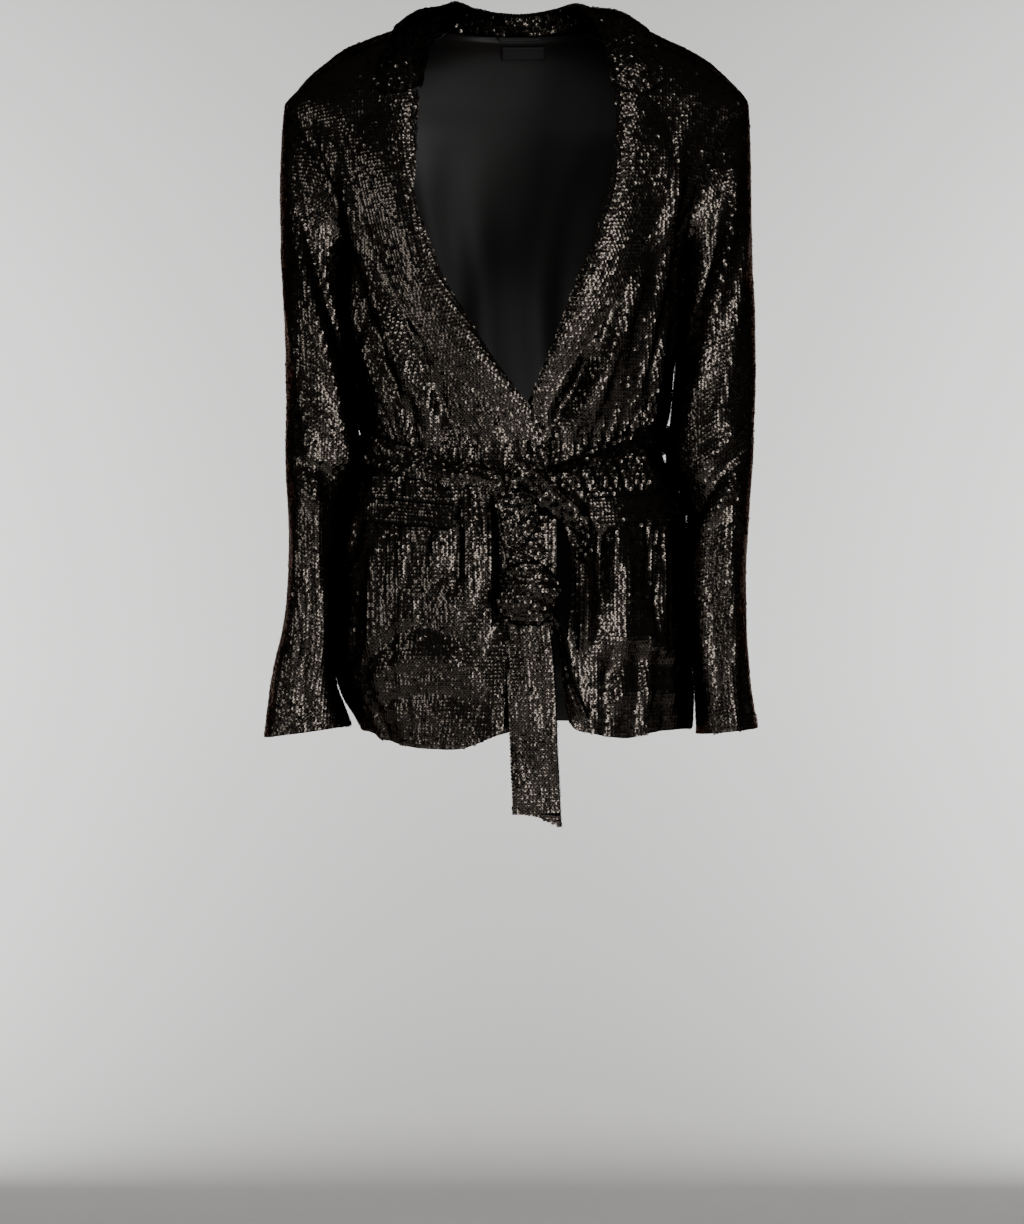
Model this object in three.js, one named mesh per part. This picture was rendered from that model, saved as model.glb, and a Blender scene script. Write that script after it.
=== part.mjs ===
// A blazer in ring sequins, wrapped right over left and tied with its own belt.
// It keeps the hollow shape it has when worn: every piece is a thin wall of cloth.
// Millimetres, X to the wearer's left, Y to the back, Z up. The origin lies between the
// shoulder seams at the base of the neck, where the wearer's shoulders hold the blazer.
import * as THREE from "three";

// Driving dimensions
const CLOTH = 2; // mesh ground with its sequins
const LINING = 1;
const BELT_CLOTH = 3; // the belt is sewn double
const COLLAR_CLOTH = 1.8;
const WRAP_CLOTH = 4.5; // the tied ends are creased lengthwise, so they are thicker
const UPPER_TAIL_CLOTH = 5;
const TAIL_CLOTH = 4;
const LAYER = 3; // rise from one cloth layer to the next
const CLEAR = 0.3; // between two pieces that touch
const SEAM_ANGLE = 0.1; // degrees that a panel keeps back from a seam
const NECK_Z = 35.5; // neck seam
const TIP_Z = -48; // shoulder tip
const UNDERARM_Z = -205;
const ARMHOLE_BULGE = 27; // degrees from the side to the armhole's foremost point
const ARMHOLE_SHARE = 0.3; // of a panel's rows lie above the underarm
const ROUNDNESS = 0.87; // 1 gives elliptic sections, less gives fuller ones
const GATHER = 3.4; // height of the gathers at the belt
const SLEEVE_LENGTH = 620;
const FRONT_WAVES = 11; // gathers at the belt
const BACK_WAVES = 8;
const BELT_FROM = 8.6; // degrees from the front where the belt leaves the knot, wearer's left
const BELT_TO = 357.25; // and where it comes back to it
const KNOT_RISE = 7.2; // how far the belt stands off where it enters the knot
const SLEEVE_COLUMNS = 20;
const LOWER_ROWS = 12; // rows of a panel below the underarm

const FRONT = new THREE.Vector3(0, -1, 0);
const BACK = new THREE.Vector3(0, 1, 0);
const rad = THREE.MathUtils.degToRad;
const lerp = THREE.MathUtils.lerp;

/** Rows of a table as objects, with the column names as keys. */
function table(columns, ...rows) {
  const names = columns.split(" ");
  return rows.map((row) => Object.fromEntries(names.map((name, i) => [name, row[i]])));
}

// Body sections: half widths to the wearer's right and left, depths in front and behind
const TORSO = table(
  "z right left front back",
  [40, 58, 60, 14, 62],
  [36, 80, 83, 24, 66],
  [33, 100, 106, 33, 70],
  [29, 122, 131, 42, 75],
  [20, 147, 151, 51, 81],
  [11, 169, 171, 58, 86],
  [-2, 187, 193, 66, 93],
  [-18, 206, 211, 75, 101],
  [-35, 220, 227, 83, 108],
  [-48, 230, 233, 89, 113],
  [-67, 226, 227, 96, 117],
  [-103, 214, 213, 109, 123],
  [-159, 190, 188, 122, 127],
  [-205, 168, 168, 128, 127],
  [-250, 166, 165, 126, 122],
  [-300, 163, 160, 120, 112],
  [-360, 155, 151, 110, 100],
  [-395, 149, 146, 105, 96],
  [-420, 159, 158, 109, 101],
  [-445, 165, 166, 113, 107],
  [-480, 172, 170, 119, 116],
  [-524, 177, 171, 124, 123],
  [-568, 179, 174, 127, 127],
  [-612, 177, 177, 129, 129],
  [-638, 170, 178, 130, 130],
  [-655, 160, 178, 131, 130],
  [-672, 151, 175, 132, 130],
  [-700, 142, 170, 132, 130],
);

// Height of the belt's middle and its width, by the angle round the body from the front
const BELT = table(
  "angle z width",
  [-180, -386, 24],
  [-90, -388, 24],
  [-57, -396, 25],
  [-43, -404, 25],
  [-30, -411, 24],
  [-23, -416, 22],
  [-12, -419, 18],
  [-3, -422, 14],
  [10, -416, 9],
  [22, -406, 10],
  [29, -401, 14],
  [38, -394, 16],
  [49, -386, 19],
  [63, -382, 22],
  [90, -381, 24],
  [180, -386, 24],
);

// Inner edge of each front, from the neck seam down the roll line and the wrap edge to the hem
const RIGHT_FRONT_EDGE = table(
  "z x",
  [35.5, -90],
  [20, -88],
  [0, -91],
  [-20, -95],
  [-40, -98],
  [-111, -98],
  [-146, -99],
  [-169, -94],
  [-188, -86],
  [-219, -76],
  [-251, -58],
  [-289, -35],
  [-332, -5],
  [-352, 12],
  [-380, 23],
  [-410, 31],
  [-444, 36],
  [-483, 39],
  [-521, 38],
  [-579, 34],
  [-627, 24],
  [-650, 12],
  [-666, -6],
);
const LEFT_FRONT_EDGE = table(
  "z x",
  [35.5, 94],
  [20, 92],
  [0, 96],
  [-22, 99],
  [-50, 101],
  [-103, 98],
  [-125, 96],
  [-150, 90],
  [-176, 83],
  [-198, 75],
  [-230, 64],
  [-260, 51],
  [-294, 39],
  [-322, 28],
  [-359, 14],
  [-386, 6],
  [-425, 10],
  [-449, 32],
  [-473, 50],
  [-500, 55],
  [-540, 55],
  [-589, 50],
  [-637, 49],
  [-658, 53],
);

// Hem heights and side seams, by the angle from the front
const RIGHT_HEM = table(
  "angle z",
  [1, -666],
  [6, -672],
  [12, -679],
  [18, -684],
  [28, -684.5],
  [40, -683],
  [50, -679],
  [62, -674.5],
  [70, -669.5],
  [90, -670],
  [130, -668],
  [180, -664],
);
const LEFT_HEM = table(
  "angle z",
  [14, -658],
  [17, -666],
  [22, -669],
  [27, -672],
  [36, -674],
  [44, -670],
  [52, -668],
  [62, -667],
  [90, -668],
  [130, -667],
  [180, -664],
);
const RIGHT_SEAM = table(
  "z angle",
  [-205, 90],
  [-260, 79],
  [-330, 66],
  [-395, 57],
  [-491, 53],
  [-587, 53],
  [-619, 58],
  [-636, 62],
  [-668, 70],
);
const LEFT_SEAM = table(
  "z angle",
  [-205, 90],
  [-260, 81],
  [-330, 72],
  [-395, 65],
  [-500, 61.6],
  [-596, 61.5],
  [-667, 62],
);

// The largest folds: a bowed line over the body, its half width, and its height or depth
const FRONT_FOLDS = table(
  "x0 z0 x1 z1 bend width height",
  [-165, -125, -81, -368, -11, 10, 7],
  [-152, -215, -100, -368, -6, 8, -5],
  [-166, -205, -113, -370, -4, 9, 6],
  [-130, -235, -62, -372, 4, 9, -5],
  [-131, -412, -141, -446, 0, 7, 5],
  [-46, -432, -44, -548, 0, 8, 5],
  [-70, -432, -77, -500, 0, 7, 4],
  [-55, -466, -58, -530, 0, 7, -7],
  [-15, -440, -14, -566, 0, 8, -9],
  [-137, -475, -140, -590, 0, 7, 4],
  [-110, -478, -114, -580, 0, 7, 3],
  [-93, -480, -92, -560, 0, 7, -4],
  [-144, -600, -40, -592, 28, 6, -4],
  [-142, -622, -36, -618, 25, 7, 4],
  [-138, -645, -28, -648, 14, 6, -3],
  [30, -585, 0, -664, 6, 11, -12],
  [160, -92, 120, -352, 4, 8, 6],
  [168, -185, 127, -358, 2, 7, 5],
  [160, -170, 122, -345, 6, 6, -5],
  [119, -212, 72, -368, 4, 10, 7],
  [98, -280, 55, -380, 2, 8, 5],
  [75, -298, 38, -366, 3, 8, -8],
  [62, -478, 66, -590, 0, 8, 6],
  [83, -470, 84, -540, 0, 8, -8],
  [101, -445, 104, -585, 0, 11, 5],
  [135, -470, 138, -560, 0, 9, -4],
  [72, -589, 159, -596, 14, 8, 4],
  [80, -618, 162, -610, 12, 7, -4],
  [84, -640, 165, -636, 8, 7, 3],
);
const BACK_FOLDS = table(
  "x0 z0 x1 z1 bend width height",
  [-112, -110, -70, -370, 8, 11, 6],
  [-88, -160, -52, -372, 5, 9, -5],
  [-50, -205, -30, -374, 3, 9, 5],
  [-12, -240, -8, -376, 0, 9, -5],
  [16, -225, 12, -376, 0, 8, 5],
  [52, -190, 36, -374, -4, 9, -5],
  [82, -150, 56, -372, -5, 10, 6],
  [116, -120, 84, -368, -7, 10, -5],
  [140, -190, 112, -366, -4, 9, 5],
  [-142, -180, -108, -366, 4, 9, -5],
  [-120, -430, -134, -590, -3, 11, 6],
  [-92, -430, -102, -605, -2, 11, -7],
  [-62, -430, -70, -580, -2, 10, 6],
  [-34, -432, -38, -560, 0, 9, -6],
  [-8, -432, -6, -600, 0, 10, 6],
  [22, -432, 26, -570, 0, 9, -6],
  [52, -430, 60, -610, 2, 11, 7],
  [84, -430, 96, -590, 3, 10, -7],
  [114, -430, 128, -575, 3, 10, 5],
  [-90, -64, 92, -60, 16, 12, 4],
);
const RIGHT_SLEEVE_FOLDS = table(
  "x0 z0 x1 z1 bend width height",
  [40, 60, 150, 330, -6, 10, 5],
  [68, 60, 168, 270, -4, 8, -4],
  [22, 190, 112, 420, -5, 9, 4],
  [60, 338, 168, 306, 4, 7, -5],
  [40, 362, 150, 350, 4, 8, 4],
  [50, 410, 44, 606, 2, 9, 4],
  [90, 420, 94, 612, 0, 8, -5],
  [128, 430, 132, 604, 0, 8, 4],
  [215, 90, 290, 330, 5, 10, 5],
  [245, 110, 322, 390, 5, 9, -5],
  [205, 325, 300, 345, 5, 8, -4],
  [300, 400, 292, 600, 0, 9, 4],
  [238, 420, 236, 600, 0, 9, -4],
);
const LEFT_SLEEVE_FOLDS = table(
  "x0 z0 x1 z1 bend width height",
  [52, 56, 120, 250, -5, 9, 5],
  [82, 60, 150, 230, -4, 8, -4],
  [34, 120, 88, 300, -3, 8, 4],
  [52, 300, 150, 336, -4, 8, 5],
  [44, 322, 140, 362, -4, 7, -5],
  [60, 350, 130, 384, -3, 8, 5],
  [74, 396, 66, 560, 2, 9, 4],
  [104, 400, 100, 590, 0, 8, -5],
  [136, 410, 130, 580, 0, 8, 4],
  [46, 520, 60, 612, 0, 7, -4],
  [218, 100, 285, 320, 5, 10, 5],
  [250, 120, 318, 380, 5, 9, -5],
  [210, 330, 305, 352, 5, 8, -4],
  [296, 400, 300, 600, 0, 9, 4],
  [240, 410, 244, 600, 0, 9, -4],
);

// Sleeve sections along the arm: the outer and inner line seen from the front, and the depth
const RIGHT_SLEEVE = table(
  "along outerX outerZ innerX innerZ middle depth",
  [0, 230, -48, 168, -205, 0, 50],
  [0.05, 233, -74, 169, -222, 0, 52],
  [0.12, 234, -110, 167.5, -244, 0, 54],
  [0.25, 233, -196, 165, -296, -5, 55],
  [0.32, 230, -246, 161.5, -332, -8, 54],
  [0.4, 228, -296, 159.5, -368, -11, 53],
  [0.47, 227, -346, 161, -405, -14, 52],
  [0.55, 227.5, -396, 170, -444, -17, 50],
  [0.62, 225, -447, 175.5, -484, -20, 49],
  [0.7, 224, -498, 179, -524, -23, 48],
  [0.8, 228.5, -560, 180, -576, -24, 47],
  [0.9, 240.5, -614, 178, -622, -24, 46],
  [0.95, 245, -645, 170, -643, -24, 46],
  [1, 249, -676, 162.5, -664, -24, 46],
);
const LEFT_SLEEVE = table(
  "along outerX outerZ innerX innerZ middle depth",
  [0, 233, -48, 168, -205, 0, 50],
  [0.05, 235, -76, 169, -222, 0, 52],
  [0.12, 235.5, -112, 167, -244, 0, 54],
  [0.25, 236, -200, 163.5, -296, -5, 55],
  [0.32, 238, -250, 160, -332, -8, 54],
  [0.4, 239, -300, 157.5, -368, -11, 53],
  [0.47, 237.5, -349, 158, -405, -14, 52],
  [0.55, 236.5, -398, 173.5, -444, -17, 50],
  [0.62, 233, -448, 172, -484, -20, 49],
  [0.7, 229, -498, 173, -524, -23, 48],
  [0.8, 229, -558, 176, -576, -24, 47],
  [0.9, 232, -612, 178, -622, -24, 46],
  [1, 240.5, -666.5, 180.5, -672.5, -24, 45],
);

// Lapels: the roll line and the outer edge, from the notch down
const RIGHT_LAPEL = table(
  "along rollX rollZ edgeX edgeZ",
  [0, -94, -43.2, -150, -76],
  [0.1, -95, -80, -156, -92],
  [0.22, -96, -118, -150, -128],
  [0.34, -97, -150, -142, -160],
  [0.45, -86, -182, -133, -192],
  [0.56, -71, -224, -122, -228],
  [0.67, -50, -260, -103, -264],
  [0.78, -24, -303, -74, -304],
  [0.88, 1, -338, -42, -336],
  [0.94, 15, -358, -20, -357],
  [1, 29, -396, 6, -384],
);
const LEFT_LAPEL = table(
  "along rollX rollZ edgeX edgeZ",
  [0, 97, -41.2, 143, -66],
  [0.1, 98, -70, 151, -92],
  [0.22, 96, -105, 152, -112],
  [0.34, 93, -130, 147, -140],
  [0.45, 84, -165, 136, -170],
  [0.56, 70, -205, 120, -200],
  [0.67, 54, -246, 100, -244],
  [0.78, 37, -292, 74, -284],
  [0.88, 24, -324, 50, -318],
  [0.94, 15, -346, 38, -340],
  [1, 8, -366, 28, -362],
);

// Collar: neck seam, fold line and outer edge, from the wearer's right notch round the back
const COLLAR = table(
  "along seamX seamY seamZ foldX foldY foldZ edgeX edgeY edgeZ",
  [0, -95, -82, -38.1, -94, -90, -39.1, -139, -77, -32.5],
  [0.06, -93, -70, -20, -91, -79, -18, -137, -70, -19],
  [0.12, -88, -54, 0, -86, -64, 3, -131, -62, -4],
  [0.19, -84, -32, 20, -79, -40, 26, -124, -46, 14],
  [0.26, -79, -6, 34, -70, -10, 49, -118.5, -8, 33],
  [0.33, -74, 24, 37, -60, 20, 61, -116, 30, 28],
  [0.41, -54, 50, 37, -40, 50, 59.5, -97, 79, 15],
  [0.5, 2, 65.6, 36.1, 3, 73, 58, 4, 104, -4],
  [0.59, 58, 50, 37, 43, 50, 59.5, 103, 79, 15],
  [0.67, 77, 24, 37, 61, 18, 58.5, 126, 28, 27],
  [0.74, 82, -6, 34, 74, -10, 49.5, 129, -10, 31],
  [0.81, 88, -30, 20, 86, -38, 28, 136, -42, 16],
  [0.88, 94, -52, 0, 92, -62, 4, 140, -60, -4],
  [0.94, 97, -68, -20, 96, -78, -18, 143, -70, -18],
  [1, 98, -80, -37.8, 97, -89, -38.8, 143, -77, -31.4],
);

// The tied ends: middle of the band, its width and its turn round its own line in degrees
const KNOT_WRAP = table(
  "along x y z width turn",
  [0, 4, -139.6, -414, 18, 0],
  [0.16, 20, -141.6, -427, 22, 0],
  [0.34, 36, -139, -445, 23, 8],
  [0.52, 52, -131, -457, 21, 15],
  [0.66, 65, -127, -466, 18, 30],
  [0.8, 70, -129, -482, 15, 50],
  [1, 65, -132, -503, 13, 60],
);
const TAIL_UPPER = table(
  "along x y z width turn",
  [0, 0, -131, -437, 32, 0],
  [0.15, 1, -134, -447, 38, 0],
  [0.4, 4, -135, -464, 36, -6],
  [0.7, 8, -137, -485, 40, 4],
  [1, 11, -141, -503.7, 38, 0],
);
const TAIL_LOWER = table(
  "along x y z width turn",
  [0, 14, -142, -565.4, 38, 0],
  [0.15, 15, -142, -595, 44, 5],
  [0.4, 17, -142, -640, 45, -4],
  [0.65, 18.5, -141, -685, 45, 6],
  [0.85, 20, -140, -722, 46, -8],
  [1, 20.7, -139, -748, 47, -4],
);
const TAIL_SHORT = table(
  "along x y z width turn",
  [0, 39.5, -143.5, -555, 9, 40],
  [0.3, 47, -140, -586, 12, 55],
  [0.6, 52, -138, -620, 15, 50],
  [0.85, 58, -138, -642, 19, 40],
  [1, 62, -138, -656, 22, 35],
);
const TAIL_SLANT = 22; // drop of the long end's cut edge from one side to the other
const BELT_KNOT = { middle: [10, -131, -424], half: [21, 7.5, 11], creases: 3, depth: 0.1 };
const SECOND_KNOT = { middle: [12.5, -144, -535], half: [29, 14, 31], creases: 5, depth: 0.12 };

// Pocket flaps: place on the body and drop of the flap at each end
const FLAPS = {
  right: { from: -58, to: -151, topFrom: -450, topTo: -439, drop: 22 },
  left: { from: 71, to: 163, topFrom: -443, topTo: -431, drop: 23 },
};
const WELT = 5; // height of the welt above each flap
const WELT_GAP = 0.6;
const LINING_DROP = 6; // how far the lining hangs below the cloth's own slope

// Pieces on the back lining at the neck: their sides, heights and distance from the lining
const LABEL = { from: -14, to: 31, top: 24, bottom: 12, inset: 3.2 };
const LOOP = { from: -15, to: 21, top: 33, bottom: 29, inset: 1 };

/** Signed power, so that a sine keeps its sign. */
function power(value, exponent) {
  return Math.sign(value) * Math.abs(value) ** exponent;
}

/** 0 below from, 1 above to, with a smooth rise between. */
function rise(value, from, to) {
  const share = THREE.MathUtils.clamp((value - from) / (to - from), 0, 1);
  return share * share * (3 - 2 * share);
}

/** The row at a value of the first column, on a smooth curve through the table's rows. */
function between(rows, value) {
  const [key, ...names] = Object.keys(rows[0]);
  const sign = Math.sign(rows.at(-1)[key] - rows[0][key]);
  const last = rows.length - 1;
  let i = 0;
  while (i < last - 1 && sign * (value - rows[i + 1][key]) > 0) i += 1;
  const [a, b] = [rows[i], rows[i + 1]];
  const [before, after] = [rows[Math.max(i - 1, 0)], rows[Math.min(i + 2, last)]];
  const span = b[key] - a[key];
  const share = THREE.MathUtils.clamp((value - a[key]) / span, 0, 1);
  const row = { [key]: value };
  for (const name of names) {
    const slopeA = ((b[name] - before[name]) / (b[key] - before[key])) * span;
    const slopeB = ((after[name] - a[name]) / (after[key] - a[key])) * span;
    const [square, cube] = [share ** 2, share ** 3];
    row[name] =
      (2 * cube - 3 * square + 1) * a[name] +
      (cube - 2 * square + share) * slopeA +
      (3 * square - 2 * cube) * b[name] +
      (cube - square) * slopeB;
  }
  return row;
}

/** Height that a table of folds adds at a place on the cloth. */
function folds(rows, x, z, scaleX = 1) {
  let height = 0;
  for (const fold of rows) {
    const [dx, dz] = [(fold.x1 - fold.x0) * scaleX, fold.z1 - fold.z0];
    const length = Math.hypot(dx, dz);
    const [px, pz] = [(x - fold.x0) * scaleX, z - fold.z0];
    const share = (px * dx + pz * dz) / length ** 2;
    const ends = rise(share, -0.12, 0.2) * (1 - rise(share, 0.8, 1.12));
    if (ends === 0) continue;
    const side = (px * dz - pz * dx) / length;
    const off = side + fold.bend * 4 * share * (1 - share);
    height += fold.height * ends * Math.exp(-((off / fold.width) ** 2));
  }
  return height;
}

/** Share of a fold's height that is left under the tied belt. */
function pinch(angle, z) {
  const off = z - between(BELT, angle).z;
  return 1 - 0.75 * Math.exp(-((off / 17) ** 2));
}

/** Point and normal of the plain body, without folds, at an angle from the front. */
function body(angle, z) {
  const row = between(TORSO, z);
  const [sine, cosine] = [Math.sin(rad(angle)), Math.cos(rad(angle))];
  const half = sine < 0 ? row.right : row.left;
  const depth = cosine > 0 ? row.front : row.back;
  const across = power(sine, ROUNDNESS);
  const through = -power(cosine, ROUNDNESS);
  const slope = 2 / ROUNDNESS - 1;
  const point = new THREE.Vector3(half * across, depth * through, z);
  const normal = new THREE.Vector3(power(across, slope) / half, power(through, slope) / depth, 0);
  return { point, normal: normal.normalize() };
}

/** A point of the folded cloth on the body, raised along the body's normal. */
function torso(angle, z, lift = 0) {
  const turned = angle > 180 ? angle - 360 : angle;
  const { point, normal } = body(turned, z);
  const cosine = Math.cos(rad(turned));
  const rows = cosine > 0 ? FRONT_FOLDS : BACK_FOLDS;
  const atSides = rise(Math.abs(cosine), 0.02, 0.3);
  const relief = folds(rows, point.x, z) * atSides * pinch(turned, z);
  return point.addScaledVector(normal, relief + lift);
}

/** Angle from the front of the place with this x at this height. */
function angleAt(x, z) {
  const row = between(TORSO, z);
  const half = x < 0 ? row.right : row.left;
  const sine = Math.min(Math.abs(x) / half, 1) ** (1 / ROUNDNESS);
  return Math.sign(x) * THREE.MathUtils.radToDeg(Math.asin(sine));
}

/** Uneven gathers drawn in by the belt, by the share of the panel's width. */
function gathers(share, angle, z, waves) {
  const off = z - between(BELT, angle).z;
  const reach = off > 0 ? 42 + 16 * Math.sin(9 * share) : 70 + 30 * Math.sin(7 * share + 2);
  const near = Math.exp(-((Math.abs(off) / reach) ** 1.4));
  const uneven = 0.68 + 0.32 * Math.sin(17 * share + 1);
  const edges = rise(share, 0, 0.08) * (1 - rise(share, 0.92, 1));
  const tied = 1 - 0.72 * Math.exp(-((off / 15) ** 2));
  return GATHER * near * uneven * edges * tied * Math.cos(2 * Math.PI * waves * share);
}

/** Angle and height on the armhole; a quarter turn is its foremost point. */
function armhole(turn) {
  const middle = (TIP_Z + UNDERARM_Z) / 2;
  const half = (TIP_Z - UNDERARM_Z) / 2;
  return { angle: 90 - ARMHOLE_BULGE * Math.sin(turn), z: middle + half * Math.cos(turn) };
}

/** Outer edge of a panel: the armhole, then the side seam. Front panels have direction 1. */
function panelSide(t, direction, seam) {
  if (t < ARMHOLE_SHARE) {
    const place = armhole((direction * Math.PI * t) / ARMHOLE_SHARE);
    return { angle: place.angle - direction * SEAM_ANGLE, z: place.z };
  }
  const share = (t - ARMHOLE_SHARE) / (1 - ARMHOLE_SHARE);
  const z = lerp(UNDERARM_Z, seam.at(-1).z, share);
  return { angle: between(seam, z).angle - direction * SEAM_ANGLE, z };
}

/** Angle and height inside four edges that meet at their corners. */
function patch(edges, s, t) {
  const { inner, outer, top, bottom } = edges;
  const mix = (name) => {
    const sides = lerp(inner(t)[name], outer(t)[name], s);
    const above = top(s)[name] - lerp(inner(0)[name], outer(0)[name], s);
    const below = bottom(s)[name] - lerp(inner(1)[name], outer(1)[name], s);
    return sides + above * (1 - rise(t, 0, 0.2)) + below * rise(t, 0.6, 1);
  };
  return { angle: mix("angle"), z: mix("z") };
}

/** Rise of the right front where it wraps over the left front and its lapel. */
function wrapLift(x, z) {
  const above = 2.5 * LAYER * rise(z, -455, -420) * (1 - rise(z, -320, -250));
  const below = LAYER * rise(-z, 420, 455) * (1 - rise(-z, 470, 520));
  return (above + below) * rise(x, -70, -8);
}

/** Surface of a front: s runs from the wrap edge to the side, t from the shoulder to the hem. */
function frontPanel(side) {
  const edge = side < 0 ? RIGHT_FRONT_EDGE : LEFT_FRONT_EDGE;
  const hem = side < 0 ? RIGHT_HEM : LEFT_HEM;
  const seam = side < 0 ? RIGHT_SEAM : LEFT_SEAM;
  const chest = -215;
  const corner = edge.at(-1);
  const ridge = 90 - SEAM_ANGLE;
  const inner = (t) => {
    const low = Math.max(t - ARMHOLE_SHARE, 0) / (1 - ARMHOLE_SHARE);
    const high = Math.min(t / ARMHOLE_SHARE, 1);
    const z = lerp(lerp(NECK_Z, chest, high), corner.z, low);
    const angle = side * angleAt(between(edge, z).x, z);
    return { angle: Math.min(angle, ridge - 600 * Math.min(t, 0.04)), z };
  };
  const outer = (t) => panelSide(t, 1, seam);
  const top = (s) => ({ angle: ridge, z: lerp(NECK_Z, TIP_Z, s) });
  const bottom = (s) => {
    const angle = lerp(inner(1).angle, outer(1).angle, s);
    return { angle, z: lerp(between(hem, Math.max(angle, hem[0].angle)).z, corner.z, s === 0) };
  };
  const edges = { inner, outer, top, bottom };
  return (s, t) => {
    const { angle, z } = patch(edges, s, t);
    const wave = gathers(s, side * angle, z, FRONT_WAVES);
    const x = torso(side * angle, z).x;
    return torso(side * angle, z, wave + (side < 0 ? wrapLift(x, z) : 0));
  };
}

/** Surface of a back half: s runs from the centre seam to the side. */
function backPanel(side) {
  const hem = side < 0 ? RIGHT_HEM : LEFT_HEM;
  const seam = side < 0 ? RIGHT_SEAM : LEFT_SEAM;
  const centre = 180 - SEAM_ANGLE;
  const ridge = 90 + SEAM_ANGLE;
  const neckShare = 0.4;
  const inner = (t) => {
    const low = Math.max(t - ARMHOLE_SHARE, 0) / (1 - ARMHOLE_SHARE);
    const high = Math.min(t / ARMHOLE_SHARE, 1);
    return { angle: centre, z: lerp(lerp(NECK_Z, UNDERARM_Z, high), hem.at(-1).z, low) };
  };
  const outer = (t) => panelSide(t, -1, seam);
  const top = (s) => ({
    angle: lerp(centre, ridge, Math.min(s / neckShare, 1)),
    z: lerp(NECK_Z, TIP_Z, Math.max(s - neckShare, 0) / (1 - neckShare)),
  });
  const bottom = (s) => {
    const angle = lerp(centre, outer(1).angle, s);
    return { angle, z: between(hem, angle).z };
  };
  const edges = { inner, outer, top, bottom };
  return (s, t) => {
    const { angle, z } = patch(edges, s, t);
    return torso(side * angle, z, gathers(s, side * angle, z, BACK_WAVES));
  };
}

/** Surface of a sleeve: s goes once round from the outside over the front, t from the armhole. */
function sleeveSurface(side) {
  const rows = side < 0 ? RIGHT_SLEEVE : LEFT_SLEEVE;
  const creases = side < 0 ? RIGHT_SLEEVE_FOLDS : LEFT_SLEEVE_FOLDS;
  const perDegree = 0.78;
  return (s, t) => {
    const turn = 2 * Math.PI * s;
    const row = between(rows, t);
    const outer = new THREE.Vector3(side * row.outerX, row.middle, row.outerZ);
    const inner = new THREE.Vector3(side * row.innerX, row.middle, row.innerZ);
    const middle = outer.clone().lerp(inner, 0.5);
    const half = outer.clone().sub(middle);
    const height = folds(creases, 360 * (s - Math.floor(s)), t * SLEEVE_LENGTH, perDegree);
    const grow = 1 + (height * rise(t, 0.03, 0.1)) / 48;
    const tube = middle
      .addScaledVector(half, power(Math.cos(turn), 0.9) * Math.sqrt(grow))
      .addScaledVector(FRONT, row.depth * power(Math.sin(turn), 0.9) * grow);
    const hole = armhole(turn);
    const share = rise(t, -0.01, 0.17);
    const under = side * 3 * share * (1 - share) * 2 * (1 - Math.cos(turn));
    return torso(side * hole.angle, hole.z).lerp(tube, share).add(new THREE.Vector3(under, 0, 0));
  };
}

/** Surface of a lapel: s runs from the roll line to the outer edge, t from the notch down. */
function lapelSurface(side) {
  const rows = side < 0 ? RIGHT_LAPEL : LEFT_LAPEL;
  const bed = side < 0 ? ["right_front"] : ["left_front"];
  return (s, t) => {
    const row = between(rows, t);
    const notch = 11 * Math.sin(Math.PI * s) * Math.exp(-t / 0.07);
    const x = lerp(row.rollX, row.edgeX, s);
    const z = lerp(row.rollZ, row.edgeZ, s) + notch;
    const flat = rise(t, 0.7, 0.98);
    const roll = 5 * Math.sin(Math.PI * Math.min(s, 1) ** 0.6) * (1 - 0.8 * flat);
    const angle = angleAt(x, z);
    const { point, normal } = body(angle, z);
    const height = heightOver(bed, angle, z, 2, 3);
    return point.addScaledVector(normal, height + CLOTH + 2 * CLEAR + roll);
  };
}

/** A smooth curve through points, at a share of its length in points. */
function through(points, share) {
  const place = THREE.MathUtils.clamp(share, 0, 1) * (points.length - 1);
  const i = Math.min(Math.floor(place), points.length - 2);
  const at = (k) => points[THREE.MathUtils.clamp(k, 0, points.length - 1)];
  const u = place - i;
  const [a, b, c, d] = [at(i - 1), at(i), at(i + 1), at(i + 2)];
  return new THREE.Vector3()
    .addScaledVector(a, -0.5 * u + u ** 2 - 0.5 * u ** 3)
    .addScaledVector(b, 1 - 2.5 * u ** 2 + 1.5 * u ** 3)
    .addScaledVector(c, 0.5 * u + 2 * u ** 2 - 1.5 * u ** 3)
    .addScaledVector(d, -0.5 * u ** 2 + 0.5 * u ** 3);
}

/** Surface of the collar: s runs from the neck seam over the fold to the outer edge. */
function collarSurface(s, t) {
  const row = between(COLLAR, t);
  const seam = new THREE.Vector3(row.seamX, row.seamY, row.seamZ);
  const fold = new THREE.Vector3(row.foldX, row.foldY, row.foldZ);
  const edge = new THREE.Vector3(row.edgeX, row.edgeY, row.edgeZ);
  const away = edge.clone().sub(fold).setZ(0).normalize();
  const stand = seam.clone().lerp(fold, 0.55);
  const inside = fold.clone().addScaledVector(away, -3.2).add(new THREE.Vector3(0, 0, -2.5));
  const outside = fold.clone().addScaledVector(away, 3.4).add(new THREE.Vector3(0, 0, -1.5));
  const atFront = Math.min(t, 1 - t);
  const crown = 7 - 4.5 * rise(atFront, 0.28, 0.45);
  const fall = outside.clone().lerp(edge, 0.5).addScaledVector(away, 0.3 * crown);
  fall.z += crown * rise(atFront, 0.1, 0.2);
  fall.y -= 6 * (1 - rise(atFront, 0.06, 0.2));
  fall.z -= 11 * (1 - rise(atFront, 0, 0.07));
  return through([seam, stand, inside, fold, outside, fall, edge], s);
}

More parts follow.
